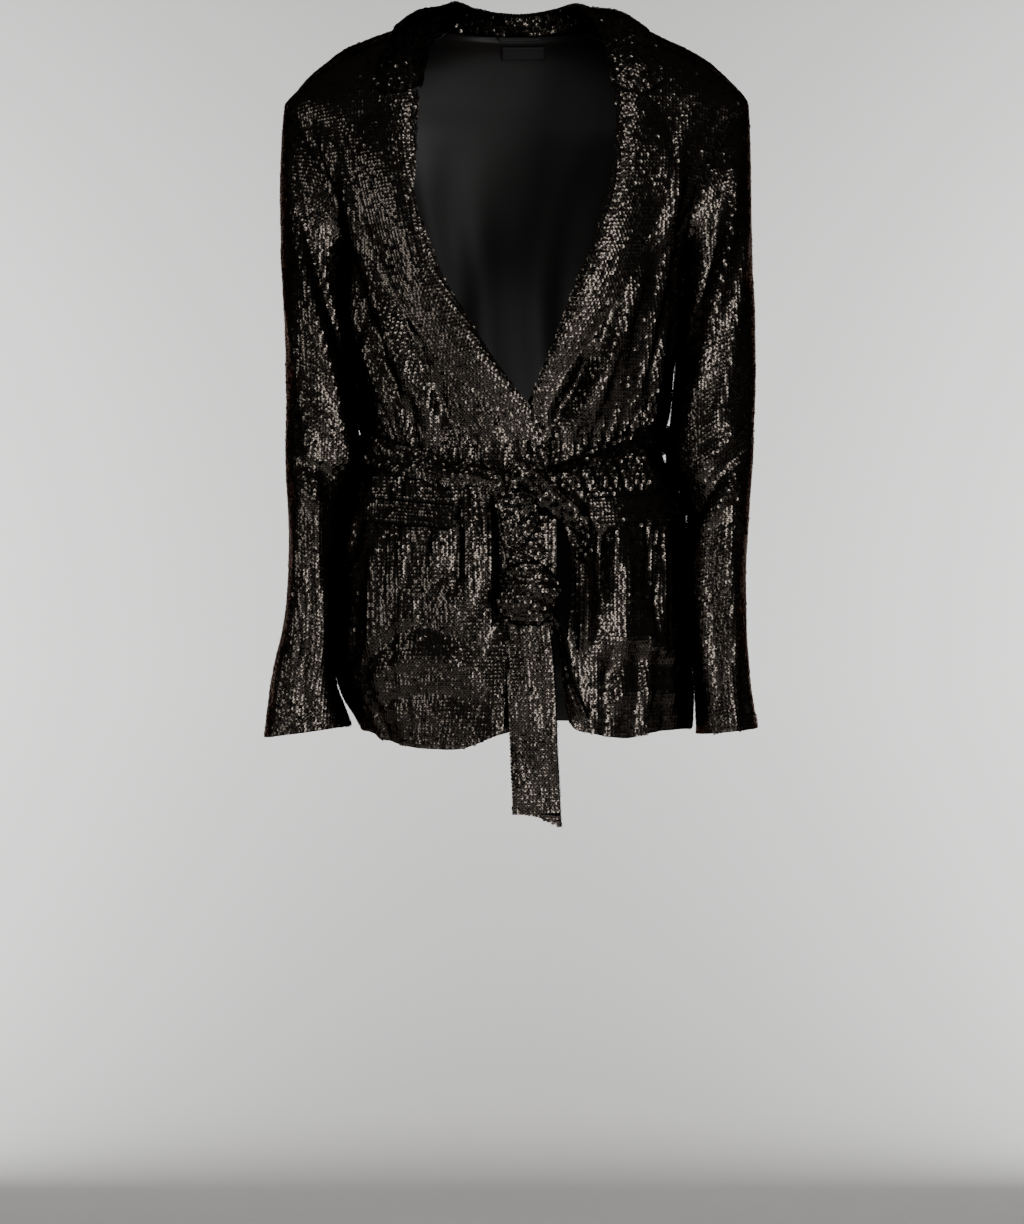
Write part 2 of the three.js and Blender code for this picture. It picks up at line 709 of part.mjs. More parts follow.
/** A closed wall from a surface: its outer face, its inner face and its edges. */
function wall(surface, columns, rows, thickness, facing, closed = false) {
  const small = 1e-3;
  const normalAt = (s, t) => {
    const [lowS, highS] = closed ? [s - small, s + small] : [Math.max(s - small, 0), Math.min(s + small, 1)];
    const [lowT, highT] = [Math.max(t - small, 0), Math.min(t + small, 1)];
    const alongS = surface(highS, t).sub(surface(lowS, t));
    const alongT = surface(s, highT).sub(surface(s, lowT));
    return alongS.cross(alongT).normalize();
  };
  const turned = normalAt(0.4, 0.5).dot(facing) < 0;
  const [outer, inner] = [[], []];
  for (const t of rows)
    for (const s of columns) {
      const point = surface(s, t);
      const normal = normalAt(s, t).multiplyScalar(turned ? -1 : 1);
      outer.push(point);
      inner.push(point.clone().addScaledVector(normal, -thickness(s, t)));
    }
  return joined(outer, inner, columns.length, rows.length, closed, turned);
}

/** A closed geometry from two grids of points that lie face to face. */
function joined(outer, inner, across, down, closed, turned) {
  const positions = [...outer, ...inner].flatMap((point) => point.toArray());
  const index = [];
  const under = outer.length;
  const at = (i, j) => i * across + (j % across);
  const quad = (a, b, c, d) => {
    if (turned) index.push(a, c, b, a, d, c);
    else index.push(a, b, c, a, c, d);
  };
  const spans = closed ? across : across - 1;
  for (let i = 0; i < down - 1; i++)
    for (let j = 0; j < spans; j++) {
      const corners = [at(i, j), at(i, j + 1), at(i + 1, j + 1), at(i + 1, j)];
      quad(...corners);
      quad(...corners.map((corner) => corner + under).reverse());
    }
  for (let j = 0; j < spans; j++) {
    quad(at(0, j + 1), at(0, j), at(0, j) + under, at(0, j + 1) + under);
    const [a, b] = [at(down - 1, j), at(down - 1, j + 1)];
    quad(a, b, b + under, a + under);
  }
  for (let i = 0; i < down - 1 && !closed; i++) {
    quad(at(i, 0), at(i + 1, 0), at(i + 1, 0) + under, at(i, 0) + under);
    const [a, b] = [at(i + 1, across - 1), at(i, across - 1)];
    quad(a, b, b + under, a + under);
  }
  return new THREE.BufferGeometry()
    .setAttribute("position", new THREE.Float32BufferAttribute(positions, 3))
    .setIndex(index);
}

/** Evenly spaced shares from 0 to 1. */
function shares(spans) {
  return Array.from({ length: spans + 1 }, (_, i) => i / spans);
}

/** A band that follows a table of middle points, with rounded faces. */
function band(rows, steps, thickness, slant = 0) {
  const sides = 10;
  const points = [];
  const place = (t) => {
    const row = between(rows, t);
    return new THREE.Vector3(row.x, row.y, row.z);
  };
  for (const t of shares(steps)) {
    const row = between(rows, t);
    const ahead = place(Math.min(t + 0.01, 1)).sub(place(Math.max(t - 0.01, 0))).normalize();
    const across = ahead.clone().cross(FRONT).normalize().negate();
    across.applyAxisAngle(ahead, rad(row.turn));
    const face = ahead.clone().cross(across).normalize();
    for (let k = 0; k < sides; k++) {
      const turn = (2 * Math.PI * k) / sides;
      const off = power(Math.cos(turn), 0.7) * 0.5;
      const cut = t === 1 ? slant * off : 0;
      points.push(
        place(t)
          .addScaledVector(across, row.width * off)
          .addScaledVector(face, thickness * 0.5 * power(Math.sin(turn), 0.7))
          .addScaledVector(ahead, cut),
      );
    }
  }
  return capped(points, sides);
}

/** A closed geometry from rings of points, with a flat cap at both ends. */
function capped(points, sides) {
  const rings = points.length / sides;
  const index = [];
  for (let i = 0; i < rings - 1; i++)
    for (let k = 0; k < sides; k++) {
      const [a, b] = [i * sides + k, i * sides + ((k + 1) % sides)];
      index.push(a, b, b + sides, a, b + sides, a + sides);
    }
  const end = (rings - 1) * sides;
  for (let k = 1; k < sides - 1; k++) {
    index.push(0, k + 1, k);
    index.push(end, end + k, end + k + 1);
  }
  const geometry = new THREE.BufferGeometry()
    .setAttribute("position", new THREE.Float32BufferAttribute(points.flatMap((p) => p.toArray()), 3))
    .setIndex(index);
  return signedVolume(geometry) < 0 ? reversed(geometry) : geometry;
}

/** Six times the volume that a closed geometry holds, less than 0 when it is inside out. */
function signedVolume(geometry) {
  const place = geometry.getAttribute("position");
  const corner = (i) => new THREE.Vector3().fromBufferAttribute(place, geometry.index.getX(i));
  let volume = 0;
  for (let i = 0; i < geometry.index.count; i += 3)
    volume += corner(i).dot(corner(i + 1).cross(corner(i + 2)));
  return volume;
}

/** The same geometry with its faces turned over. */
function reversed(geometry) {
  const index = Array.from(geometry.index.array);
  for (let i = 0; i < index.length; i += 3)
    [index[i + 1], index[i + 2]] = [index[i + 2], index[i + 1]];
  return geometry.setIndex(index);
}

/** A knot: a rounded lump with the creases of the cloth drawn round it. */
function knot({ middle, half, creases, depth }) {
  const [around, along] = [18, 10];
  const points = [];
  for (let i = 1; i < along; i++) {
    const tilt = (Math.PI * i) / along;
    for (let k = 0; k < around; k++) {
      const turn = (2 * Math.PI * k) / around;
      const wave = 1 + depth * Math.cos(creases * tilt + turn) * Math.sin(tilt);
      points.push(
        new THREE.Vector3(
          middle[0] + half[0] * wave * power(Math.sin(tilt), 0.8) * Math.cos(turn),
          middle[1] + half[1] * wave * power(Math.sin(tilt), 0.8) * Math.sin(turn),
          middle[2] + half[2] * power(Math.cos(tilt), 0.9),
        ),
      );
    }
  }
  return capped(points, around);
}

/** Distance from the plain body out to the pieces made so far, the highest near a place. */
function heightOver(names, angle, z, reachAngle, reachZ) {
  const pieces = blazer.children.filter((piece) => names.includes(piece.name));
  const far = 60;
  let height = 0;
  for (const [stepAngle, stepZ] of [[0, 0], [1, 0], [-1, 0], [2, 0], [-2, 0], [0, 1], [0, -1]]) {
    const { point, normal } = body(angle + stepAngle * reachAngle, z + stepZ * reachZ);
    point.addScaledVector(normal, far);
    const hit = new THREE.Raycaster(point, normal.negate(), 0, 2 * far).intersectObjects(pieces)[0];
    if (hit) height = Math.max(height, far - hit.distance);
  }
  return height;
}

const PANELS = ["right_front", "left_front", "back_right", "back_left"];

/** The belt round the waist, open where the knot sits. */
function beltSurface() {
  const steps = 48;
  const bed = shares(steps).map((share) => {
    const angle = lerp(BELT_FROM, BELT_TO, share);
    const turned = angle > 180 ? angle - 360 : angle;
    const row = between(BELT, turned);
    const levels = [-0.5, -0.25, 0, 0.25, 0.5].map((k) => row.z + k * row.width);
    return Math.max(...levels.map((z) => heightOver([...PANELS, "right_lapel"], turned, z, 3, 2)));
  });
  return (s, t) => {
    const angle = lerp(BELT_FROM, BELT_TO, t);
    const turned = angle > 180 ? angle - 360 : angle;
    const row = between(BELT, turned);
    const { point, normal } = body(turned, row.z + (0.5 - s) * row.width);
    const place = Math.min(Math.floor(t * steps), steps - 1);
    const height = lerp(bed[place], bed[place + 1], t * steps - place);
    const bulge = 1.2 * Math.sin(Math.PI * s);
    const tied = KNOT_RISE * (1 - rise(Math.min(t, 1 - t), 0, 0.05));
    return point.addScaledVector(normal, height + 5 * CLEAR + BELT_CLOTH + bulge + tied);
  };
}

/** Surface of a pocket piece between two heights below the top line of its flap. */
function pocketSurface(flap, upper, lower, free) {
  const from = angleAt(flap.from, flap.topFrom);
  const to = angleAt(flap.to, flap.topTo);
  return (s, t) => {
    const angle = lerp(from, to, s);
    const z = lerp(flap.topFrom, flap.topTo, s) - lerp(upper, lower, t);
    const { point, normal } = body(angle, z);
    const height = heightOver(PANELS, angle, z, 2.2, 4);
    return point.addScaledVector(normal, height + 4 * CLEAR + CLOTH + free * t);
  };
}

/** A point inside the plain body where the lining hangs, further in by an inset. */
function liningPoint(angle, z, inset) {
  const below = rise(NECK_Z - z, 1, 8);
  const { point, normal } = body(angle, z + lerp(1.5, LINING_DROP, below));
  const hang = 2.2 + 1.8 * below + 8 * rise(-z, -24, 50) + 4 * rise(-z, 330, 420);
  point.z = z;
  return point.addScaledVector(normal, -hang - inset);
}

/** Surface of the back lining, inside both back halves. */
function liningSurface(s, t) {
  return liningPoint(lerp(122, 238, s), lerp(NECK_Z - 1.5, -640, t), 0);
}

/** Surface of a small piece on the back lining, between two heights. */
function neckSurface({ from, to, top, bottom, inset }) {
  return (s, t) => {
    const [x, z] = [lerp(from, to, s), lerp(top, bottom, t)];
    return liningPoint(180 - angleAt(x, z + LINING_DROP), z, LINING + inset);
  };
}

const SEQUINS = { color: 0x1a1716, roughness: 0.32, metalness: 0.75 };
const SATIN = { color: 0x17120f, roughness: 0.45, metalness: 0 };
const WOVEN = { color: 0x0d0d0c, roughness: 0.7, metalness: 0 };

const blazer = new THREE.Group();

/** Adds a named piece of one finish. */
function add(name, geometry, finish) {
  const piece = new THREE.Mesh(geometry, new THREE.MeshStandardMaterial(finish));
  piece.name = name;
  blazer.add(piece);
}

/** Rows of a panel: one at each column of the sleeve, then closest at the belt. */
function panelRows() {
  const upper = shares(SLEEVE_COLUMNS / 2).map((share) => share * ARMHOLE_SHARE);
  const belt = 0.45;
  const lower = shares(LOWER_ROWS).slice(1).map((share) => {
    const wave = Math.sin(2 * Math.PI * (share - belt)) + Math.sin(2 * Math.PI * belt);
    return lerp(ARMHOLE_SHARE, 1, share - 0.08 * wave);
  });
  return [...upper, ...lower];
}

for (const [name, side] of [["right", -1], ["left", 1]]) {
  const cloth = () => CLOTH;
  add(name + "_front", wall(frontPanel(side), shares(2 * FRONT_WAVES), panelRows(), cloth, FRONT), SEQUINS);
  add("back_" + name, wall(backPanel(side), shares(2 * BACK_WAVES), panelRows(), cloth, BACK), SEQUINS);
}
blazer.updateMatrixWorld(true);
for (const [name, side] of [["right", -1], ["left", 1]]) {
  add(name + "_lapel", wall(lapelSurface(side), shares(5), shares(14), () => CLOTH, FRONT), SEQUINS);
  const flap = FLAPS[name];
  const flapFace = pocketSurface(flap, 0, flap.drop, 1.6);
  const weltFace = pocketSurface(flap, -WELT - WELT_GAP, -WELT_GAP, 0);
  add(name + "_pocket_flap", wall(flapFace, shares(14), shares(2), () => CLOTH, FRONT), SEQUINS);
  add(name + "_pocket_welt", wall(weltFace, shares(14), shares(1), () => CLOTH, FRONT), SEQUINS);
}

/** A sleeve's wall, set off from the armhole seam and folded along it. */
function sleeve(side) {
  const [around, along] = [SLEEVE_COLUMNS, 18];
  const surface = sleeveSurface(side);
  const columns = shares(around).slice(0, -1);
  const rows = shares(along).map((t) => t ** 1.25);
  const geometry = wall(surface, columns, rows, () => CLOTH, new THREE.Vector3(-side * 0.3, -1, 0), true);
  const place = geometry.getAttribute("position");
  const under = place.count / 2;
  columns.forEach((s, j) => {
    const turn = 2 * Math.PI * s;
    const at = (angle, z) => torso(side * angle, z);
    const hole = armhole(turn);
    const small = 0.05;
    const alongAngle = at(hole.angle + small, hole.z).sub(at(hole.angle - small, hole.z));
    const alongZ = at(hole.angle, hole.z + small).sub(at(hole.angle, hole.z - small));
    const normal = alongAngle.cross(alongZ).normalize();
    const [before, after] = [armhole(turn - 0.02), armhole(turn + 0.02)];
    const tangent = at(after.angle, after.z).sub(at(before.angle, before.z));
    const away = normal.clone().cross(tangent).normalize();
    const centre = armhole(turn + Math.PI);
    const inward = at(centre.angle, centre.z).sub(at(hole.angle, hole.z));
    if (away.dot(inward) < 0) away.negate();
    const outer = new THREE.Vector3().fromBufferAttribute(place, j);
    const offset = new THREE.Vector3().fromBufferAttribute(place, j + under).sub(outer);
    const into = Math.min(offset.dot(away), 0);
    offset.addScaledVector(away, -into).setLength(CLOTH);
    outer.addScaledVector(away, 2 * CLEAR);
    place.setXYZ(j, ...outer.toArray());
    place.setXYZ(j + under, ...outer.add(offset).toArray());
  });
  return geometry;
}
add("right_sleeve", sleeve(-1), SEQUINS);
add("left_sleeve", sleeve(1), SEQUINS);

add("collar", wall(collarSurface, shares(8), shares(24), () => COLLAR_CLOTH, BACK), SEQUINS);
add("belt_band", wall(beltSurface(), shares(2), shares(48), () => BELT_CLOTH, BACK), SEQUINS);
add("belt_knot", knot(BELT_KNOT), SEQUINS);
add("knot_wrap", band(KNOT_WRAP, 12, WRAP_CLOTH), SEQUINS);
add("tail_upper", band(TAIL_UPPER, 7, UPPER_TAIL_CLOTH), SEQUINS);
add("second_knot", knot(SECOND_KNOT), SEQUINS);
add("tail_lower", band(TAIL_LOWER, 10, TAIL_CLOTH, TAIL_SLANT), SEQUINS);
add("tail_short", band(TAIL_SHORT, 6, TAIL_CLOTH), SEQUINS);

const liningRows = shares(9).map((t) => t * t);
add("back_lining", wall(liningSurface, shares(12), liningRows, () => LINING, BACK), SATIN);
add("neck_label", wall(neckSurface(LABEL), shares(4), shares(2), () => LINING, BACK), WOVEN);
add("hanger_loop", wall(neckSurface(LOOP), shares(4), shares(1), () => LINING, BACK), SATIN);

export default blazer;
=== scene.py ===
"""A tie-waist blazer in ring sequins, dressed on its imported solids.

Every cloth piece is a thin shell on the form of its solid, with the folds and gathers of
the worn garment, and carries its own rings in a square lattice. Lengths are millimetres
until a mesh is made; the meshes are in metres, in the frame of the solids.
"""

import logging
import math
from dataclasses import dataclass, field
from enum import Enum
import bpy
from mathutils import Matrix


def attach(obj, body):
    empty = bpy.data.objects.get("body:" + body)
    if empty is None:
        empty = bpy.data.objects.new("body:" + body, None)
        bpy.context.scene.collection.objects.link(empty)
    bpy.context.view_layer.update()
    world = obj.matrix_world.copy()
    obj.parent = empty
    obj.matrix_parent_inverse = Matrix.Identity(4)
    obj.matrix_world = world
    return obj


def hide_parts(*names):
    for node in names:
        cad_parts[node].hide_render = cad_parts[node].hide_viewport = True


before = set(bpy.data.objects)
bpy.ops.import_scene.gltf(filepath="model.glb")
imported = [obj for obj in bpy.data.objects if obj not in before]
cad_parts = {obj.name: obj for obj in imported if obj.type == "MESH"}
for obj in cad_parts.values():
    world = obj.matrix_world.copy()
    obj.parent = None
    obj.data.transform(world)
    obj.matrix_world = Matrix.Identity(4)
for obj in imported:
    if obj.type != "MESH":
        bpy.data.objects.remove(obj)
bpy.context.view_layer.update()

from types import SimpleNamespace
from typing import Callable, Sequence, Union

import bpy
import numpy as np
from mathutils import Vector
from mathutils.bvhtree import BVHTree

log = logging.getLogger("blazer")

Values = np.ndarray
Number = Union[float, Values]
Pair = tuple[Values, Values]  # angles and heights, or shares across and down
Edge = Callable[[Values], Pair]
Surface = Callable[[Values, Values], Values]
Material = bpy.types.Material
Object = bpy.types.Object

METRE = 0.001  # metres in a millimetre
RING_MAP = "OFBake"
CLOTH_MAP = "cloth"
CLOTH = 2.0  # thickness of the sequin cloth
LINING_CLOTH = 1.0
BELT_CLOTH = 3.0
CLEAR = 0.3  # left free between cloth and cloth
SEAM_ANGLE = 0.1  # degrees that a panel keeps back from a seam
NECK_Z = 35.5
TIP_Z = -48.0
UNDERARM_Z = -205.0
ARMHOLE_BULGE = 27.0  # degrees that the armhole reaches forward and back
ARMHOLE_SHARE = 0.3  # of a panel's height
ROUNDNESS = 0.87  # 1 makes the body's sections ellipses
LAYER = 3.0  # what each layer of cloth lifts the next one
GATHER = 3.4  # height of the gathers at the belt
REACH_ABOVE = 42  # how far they run up from the belt, and down from it
REACH_BELOW = 70
BELT_HOLD = 0.75  # share of a fold's height that the belt takes, and how far it holds
BELT_REACH = 17
FRONT_WAVES = 11
BACK_WAVES = 8
SLEEVE_LENGTH = 620.0
LINING_DROP = 6.0
LAST_ROW = 0.9965  # share down the cloth of the rings on a hem or cuff
FRONT = np.array([0.0, -1.0, 0.0])


class Side(Enum):
    """The wearer's two sides, with the sign of X on each."""

    RIGHT = -1
    LEFT = 1

    @property
    def word(self) -> str:
        """The side's name in the names of pieces."""
        return self.name.lower()

    def pick(self, right: "Table", left: "Table") -> "Table":
        """The table of the side."""
        return right if self is Side.RIGHT else left


class Table:
    """Rows of numbers under named columns, read along a smooth curve."""

    def __init__(self, columns: str, *rows: Sequence[float]) -> None:
        """Keeps the columns as arrays.

        Args:
            columns: Column names; the first is the one that the table is read by.
            rows: One row of numbers for each section, fold or point.
        """
        self.names = columns.split()
        self.columns = dict(zip(self.names, np.array(rows, float).T))

    def at(self, value: Number) -> SimpleNamespace:
        """Reads every other column at values of the first.

        Args:
            value: Places along the first column.

        Returns:
            One array for each named column.
        """
        keys = self.columns[self.names[0]]
        sign = 1.0 if keys[-1] > keys[0] else -1.0
        place = np.clip(np.searchsorted(sign * keys, sign * np.asarray(value)) - 1, 0, len(keys) - 2)
        before, after = np.maximum(place - 1, 0), np.minimum(place + 2, len(keys) - 1)
        span = keys[place + 1] - keys[place]
        u = np.clip((value - keys[place]) / span, 0.0, 1.0)
        u2, u3 = u * u, u * u * u
        found = SimpleNamespace()
        for name in self.names[1:]:
            a, b = self.columns[name][place], self.columns[name][place + 1]
            slope_a = (b - self.columns[name][before]) / (keys[place + 1] - keys[before]) * span
            slope_b = (self.columns[name][after] - a) / (keys[after] - keys[place]) * span
            setattr(found, name, (2 * u3 - 3 * u2 + 1) * a + (u3 - 2 * u2 + u) * slope_a
                    + (3 * u2 - 2 * u3) * b + (u3 - u2) * slope_b)
        return found


TORSO = Table(
    "z right left front back",
    (40, 58, 60, 14, 62), (36, 80, 83, 24, 66), (33, 100, 106, 33, 70), (29, 122, 131, 42, 75),
    (20, 147, 151, 51, 81), (11, 169, 171, 58, 86), (-2, 187, 193, 66, 93),
    (-18, 206, 211, 75, 101), (-35, 220, 227, 83, 108), (-48, 230, 233, 89, 113),
    (-67, 226, 227, 96, 117), (-103, 214, 213, 109, 123), (-159, 190, 188, 122, 127),
    (-205, 168, 168, 128, 127), (-250, 166, 165, 126, 122), (-300, 163, 160, 120, 112),
    (-360, 155, 151, 110, 100), (-395, 149, 146, 105, 96), (-420, 159, 158, 109, 101),
    (-445, 165, 166, 113, 107), (-480, 172, 170, 119, 116), (-524, 177, 171, 124, 123),
    (-568, 179, 174, 127, 127), (-612, 177, 177, 129, 129), (-638, 170, 178, 130, 130),
    (-655, 160, 178, 131, 130), (-672, 151, 175, 132, 130), (-700, 142, 170, 132, 130),
)
BELT = Table(
    "angle z width",
    (-180, -386, 24), (-90, -388, 24), (-57, -396, 25), (-43, -404, 25), (-30, -411, 24),
    (-23, -416, 22), (-12, -419, 18), (-3, -422, 14), (10, -416, 9), (22, -406, 10),
    (29, -401, 14), (38, -394, 16), (49, -386, 19), (63, -382, 22), (90, -381, 24),
    (180, -386, 24),
)
RIGHT_FRONT_EDGE = Table(
    "z x",
    (35.5, -90), (20, -88), (0, -91), (-20, -95), (-40, -98), (-111, -98), (-146, -99),
    (-169, -94), (-188, -86), (-219, -76), (-251, -58), (-289, -35), (-332, -5), (-352, 12),
    (-380, 23), (-410, 31), (-444, 36), (-483, 39), (-521, 38), (-579, 34), (-627, 24), (-650, 12),
    (-666, -6),
)
LEFT_FRONT_EDGE = Table(
    "z x",
    (35.5, 94), (20, 92), (0, 96), (-22, 99), (-50, 101), (-103, 98), (-125, 96), (-150, 90),
    (-176, 83), (-198, 75), (-230, 64), (-260, 51), (-294, 39), (-322, 28), (-359, 14), (-386, 6),
    (-425, 10), (-449, 32), (-473, 50), (-500, 55), (-540, 55), (-589, 50), (-637, 49), (-658, 53),
)
RIGHT_HEM = Table(
    "angle z",
    (1, -666), (6, -672), (12, -679), (18, -684), (28, -684.5), (40, -683), (50, -679),
    (62, -674.5), (70, -669.5), (90, -670), (130, -668), (180, -664),
)
LEFT_HEM = Table(
    "angle z",
    (14, -658), (17, -666), (22, -669), (27, -672), (36, -674), (44, -670), (52, -668), (62, -667),
    (90, -668), (130, -667), (180, -664),
)
RIGHT_SEAM = Table(
    "z angle",
    (-205, 90), (-260, 79), (-330, 66), (-395, 57), (-491, 53), (-587, 53), (-619, 58), (-636, 62),
    (-668, 70),
)
LEFT_SEAM = Table(
    "z angle",
    (-205, 90), (-260, 81), (-330, 72), (-395, 65), (-500, 61.6), (-596, 61.5), (-667, 62),
)
FRONT_FOLDS = Table(
    "x0 z0 x1 z1 bend width height",
    (-165, -125, -81, -368, -11, 10, 7), (-152, -215, -100, -368, -6, 8, -5),
    (-166, -205, -113, -370, -4, 9, 6), (-130, -235, -62, -372, 4, 9, -5),
    (-131, -412, -141, -446, 0, 7, 5), (-46, -432, -44, -548, 0, 8, 5),
    (-70, -432, -77, -500, 0, 7, 4), (-55, -466, -58, -530, 0, 7, -7),
    (-15, -440, -14, -566, 0, 8, -9), (-137, -475, -140, -590, 0, 7, 4),
    (-110, -478, -114, -580, 0, 7, 3), (-93, -480, -92, -560, 0, 7, -4),
    (-144, -600, -40, -592, 28, 6, -4), (-142, -622, -36, -618, 25, 7, 4),
    (-138, -645, -28, -648, 14, 6, -3), (30, -585, 0, -664, 6, 11, -12),
    (160, -92, 120, -352, 4, 8, 6), (168, -185, 127, -358, 2, 7, 5),
    (160, -170, 122, -345, 6, 6, -5), (119, -212, 72, -368, 4, 10, 7),
    (98, -280, 55, -380, 2, 8, 5), (75, -298, 38, -366, 3, 8, -8), (62, -478, 66, -590, 0, 8, 6),
    (83, -470, 84, -540, 0, 8, -8), (101, -445, 104, -585, 0, 11, 5),
    (135, -470, 138, -560, 0, 9, -4), (72, -589, 159, -596, 14, 8, 4),
    (80, -618, 162, -610, 12, 7, -4), (84, -640, 165, -636, 8, 7, 3),
)
BACK_FOLDS = Table(
    "x0 z0 x1 z1 bend width height",
    (-112, -110, -70, -370, 8, 11, 6), (-88, -160, -52, -372, 5, 9, -5),
    (-50, -205, -30, -374, 3, 9, 5), (-12, -240, -8, -376, 0, 9, -5),
    (16, -225, 12, -376, 0, 8, 5), (52, -190, 36, -374, -4, 9, -5),
    (82, -150, 56, -372, -5, 10, 6), (116, -120, 84, -368, -7, 10, -5),
    (140, -190, 112, -366, -4, 9, 5), (-142, -180, -108, -366, 4, 9, -5),
    (-120, -430, -134, -590, -3, 11, 6), (-92, -430, -102, -605, -2, 11, -7),
    (-62, -430, -70, -580, -2, 10, 6), (-34, -432, -38, -560, 0, 9, -6),
    (-8, -432, -6, -600, 0, 10, 6), (22, -432, 26, -570, 0, 9, -6), (52, -430, 60, -610, 2, 11, 7),
    (84, -430, 96, -590, 3, 10, -7), (114, -430, 128, -575, 3, 10, 5),
    (-90, -64, 92, -60, 16, 12, 4),
)
RIGHT_SLEEVE_FOLDS = Table(
    "x0 z0 x1 z1 bend width height",
    (40, 60, 150, 330, -6, 10, 5), (68, 60, 168, 270, -4, 8, -4), (22, 190, 112, 420, -5, 9, 4),
    (60, 338, 168, 306, 4, 7, -5), (40, 362, 150, 350, 4, 8, 4), (50, 410, 44, 606, 2, 9, 4),
    (90, 420, 94, 612, 0, 8, -5), (128, 430, 132, 604, 0, 8, 4), (215, 90, 290, 330, 5, 10, 5),
    (245, 110, 322, 390, 5, 9, -5), (205, 325, 300, 345, 5, 8, -4), (300, 400, 292, 600, 0, 9, 4),
    (238, 420, 236, 600, 0, 9, -4),
)
LEFT_SLEEVE_FOLDS = Table(
    "x0 z0 x1 z1 bend width height",
    (52, 56, 120, 250, -5, 9, 5), (82, 60, 150, 230, -4, 8, -4), (34, 120, 88, 300, -3, 8, 4),
    (52, 300, 150, 336, -4, 8, 5), (44, 322, 140, 362, -4, 7, -5), (60, 350, 130, 384, -3, 8, 5),
    (74, 396, 66, 560, 2, 9, 4), (104, 400, 100, 590, 0, 8, -5), (136, 410, 130, 580, 0, 8, 4),
    (46, 520, 60, 612, 0, 7, -4), (218, 100, 285, 320, 5, 10, 5), (250, 120, 318, 380, 5, 9, -5),
    (210, 330, 305, 352, 5, 8, -4), (296, 400, 300, 600, 0, 9, 4), (240, 410, 244, 600, 0, 9, -4),
)
RIGHT_SLEEVE = Table(
    "along outerX outerZ innerX innerZ middle depth",
    (0, 230, -48, 168, -205, 0, 50), (0.05, 233, -74, 169, -222, 0, 52),
    (0.12, 234, -110, 167.5, -244, 0, 54), (0.25, 233, -196, 165, -296, -5, 55),
    (0.32, 230, -246, 161.5, -332, -8, 54), (0.4, 228, -296, 159.5, -368, -11, 53),
    (0.47, 227, -346, 161, -405, -14, 52), (0.55, 227.5, -396, 170, -444, -17, 50),
    (0.62, 225, -447, 175.5, -484, -20, 49), (0.7, 224, -498, 179, -524, -23, 48),
    (0.8, 228.5, -560, 180, -576, -24, 47), (0.9, 240.5, -614, 178, -622, -24, 46),
    (0.95, 245, -645, 170, -643, -24, 46), (1, 249, -676, 162.5, -664, -24, 46),
)
LEFT_SLEEVE = Table(
    "along outerX outerZ innerX innerZ middle depth",
    (0, 233, -48, 168, -205, 0, 50), (0.05, 235, -76, 169, -222, 0, 52),
    (0.12, 235.5, -112, 167, -244, 0, 54), (0.25, 236, -200, 163.5, -296, -5, 55),
    (0.32, 238, -250, 160, -332, -8, 54), (0.4, 239, -300, 157.5, -368, -11, 53),
    (0.47, 237.5, -349, 158, -405, -14, 52), (0.55, 236.5, -398, 173.5, -444, -17, 50),
    (0.62, 233, -448, 172, -484, -20, 49), (0.7, 229, -498, 173, -524, -23, 48),
    (0.8, 229, -558, 176, -576, -24, 47), (0.9, 232, -612, 178, -622, -24, 46),
    (1, 240.5, -666.5, 180.5, -672.5, -24, 45),
)
RIGHT_LAPEL = Table(
    "along rollX rollZ edgeX edgeZ",
    (0, -94, -43.2, -150, -76), (0.1, -95, -80, -156, -92), (0.22, -96, -118, -150, -128),
    (0.34, -97, -150, -142, -160), (0.45, -86, -182, -133, -192), (0.56, -71, -224, -122, -228),
    (0.67, -50, -260, -103, -264), (0.78, -24, -303, -74, -304), (0.88, 1, -338, -42, -336),
    (0.94, 15, -358, -20, -357), (1, 29, -396, 6, -384),
)
LEFT_LAPEL = Table(
    "along rollX rollZ edgeX edgeZ",
    (0, 97, -41.2, 143, -66), (0.1, 98, -70, 151, -92), (0.22, 96, -105, 152, -112),
    (0.34, 93, -130, 147, -140), (0.45, 84, -165, 136, -170), (0.56, 70, -205, 120, -200),
    (0.67, 54, -246, 100, -244), (0.78, 37, -292, 74, -284), (0.88, 24, -324, 50, -318),
    (0.94, 15, -346, 38, -340), (1, 8, -366, 28, -362),
)
COLLAR = Table(
    "along seamX seamY seamZ foldX foldY foldZ edgeX edgeY edgeZ",
    (0, -95, -82, -38.1, -94, -90, -39.1, -139, -77, -32.5),
    (0.06, -93, -70, -20, -91, -79, -18, -137, -70, -19),
    (0.12, -88, -54, 0, -86, -64, 3, -131, -62, -4),
    (0.19, -84, -32, 20, -79, -40, 26, -124, -46, 14),
    (0.26, -79, -6, 34, -70, -10, 49, -118.5, -8, 33),
    (0.33, -74, 24, 37, -60, 20, 61, -116, 30, 28),
    (0.41, -54, 50, 37, -40, 50, 59.5, -97, 79, 15), (0.5, 2, 65.6, 36.1, 3, 73, 58, 4, 104, -4),
    (0.59, 58, 50, 37, 43, 50, 59.5, 103, 79, 15), (0.67, 77, 24, 37, 61, 18, 58.5, 126, 28, 27),
    (0.74, 82, -6, 34, 74, -10, 49.5, 129, -10, 31),
    (0.81, 88, -30, 20, 86, -38, 28, 136, -42, 16), (0.88, 94, -52, 0, 92, -62, 4, 140, -60, -4),
    (0.94, 97, -68, -20, 96, -78, -18, 143, -70, -18),
    (1, 98, -80, -37.8, 97, -89, -38.8, 143, -77, -31.4),
)
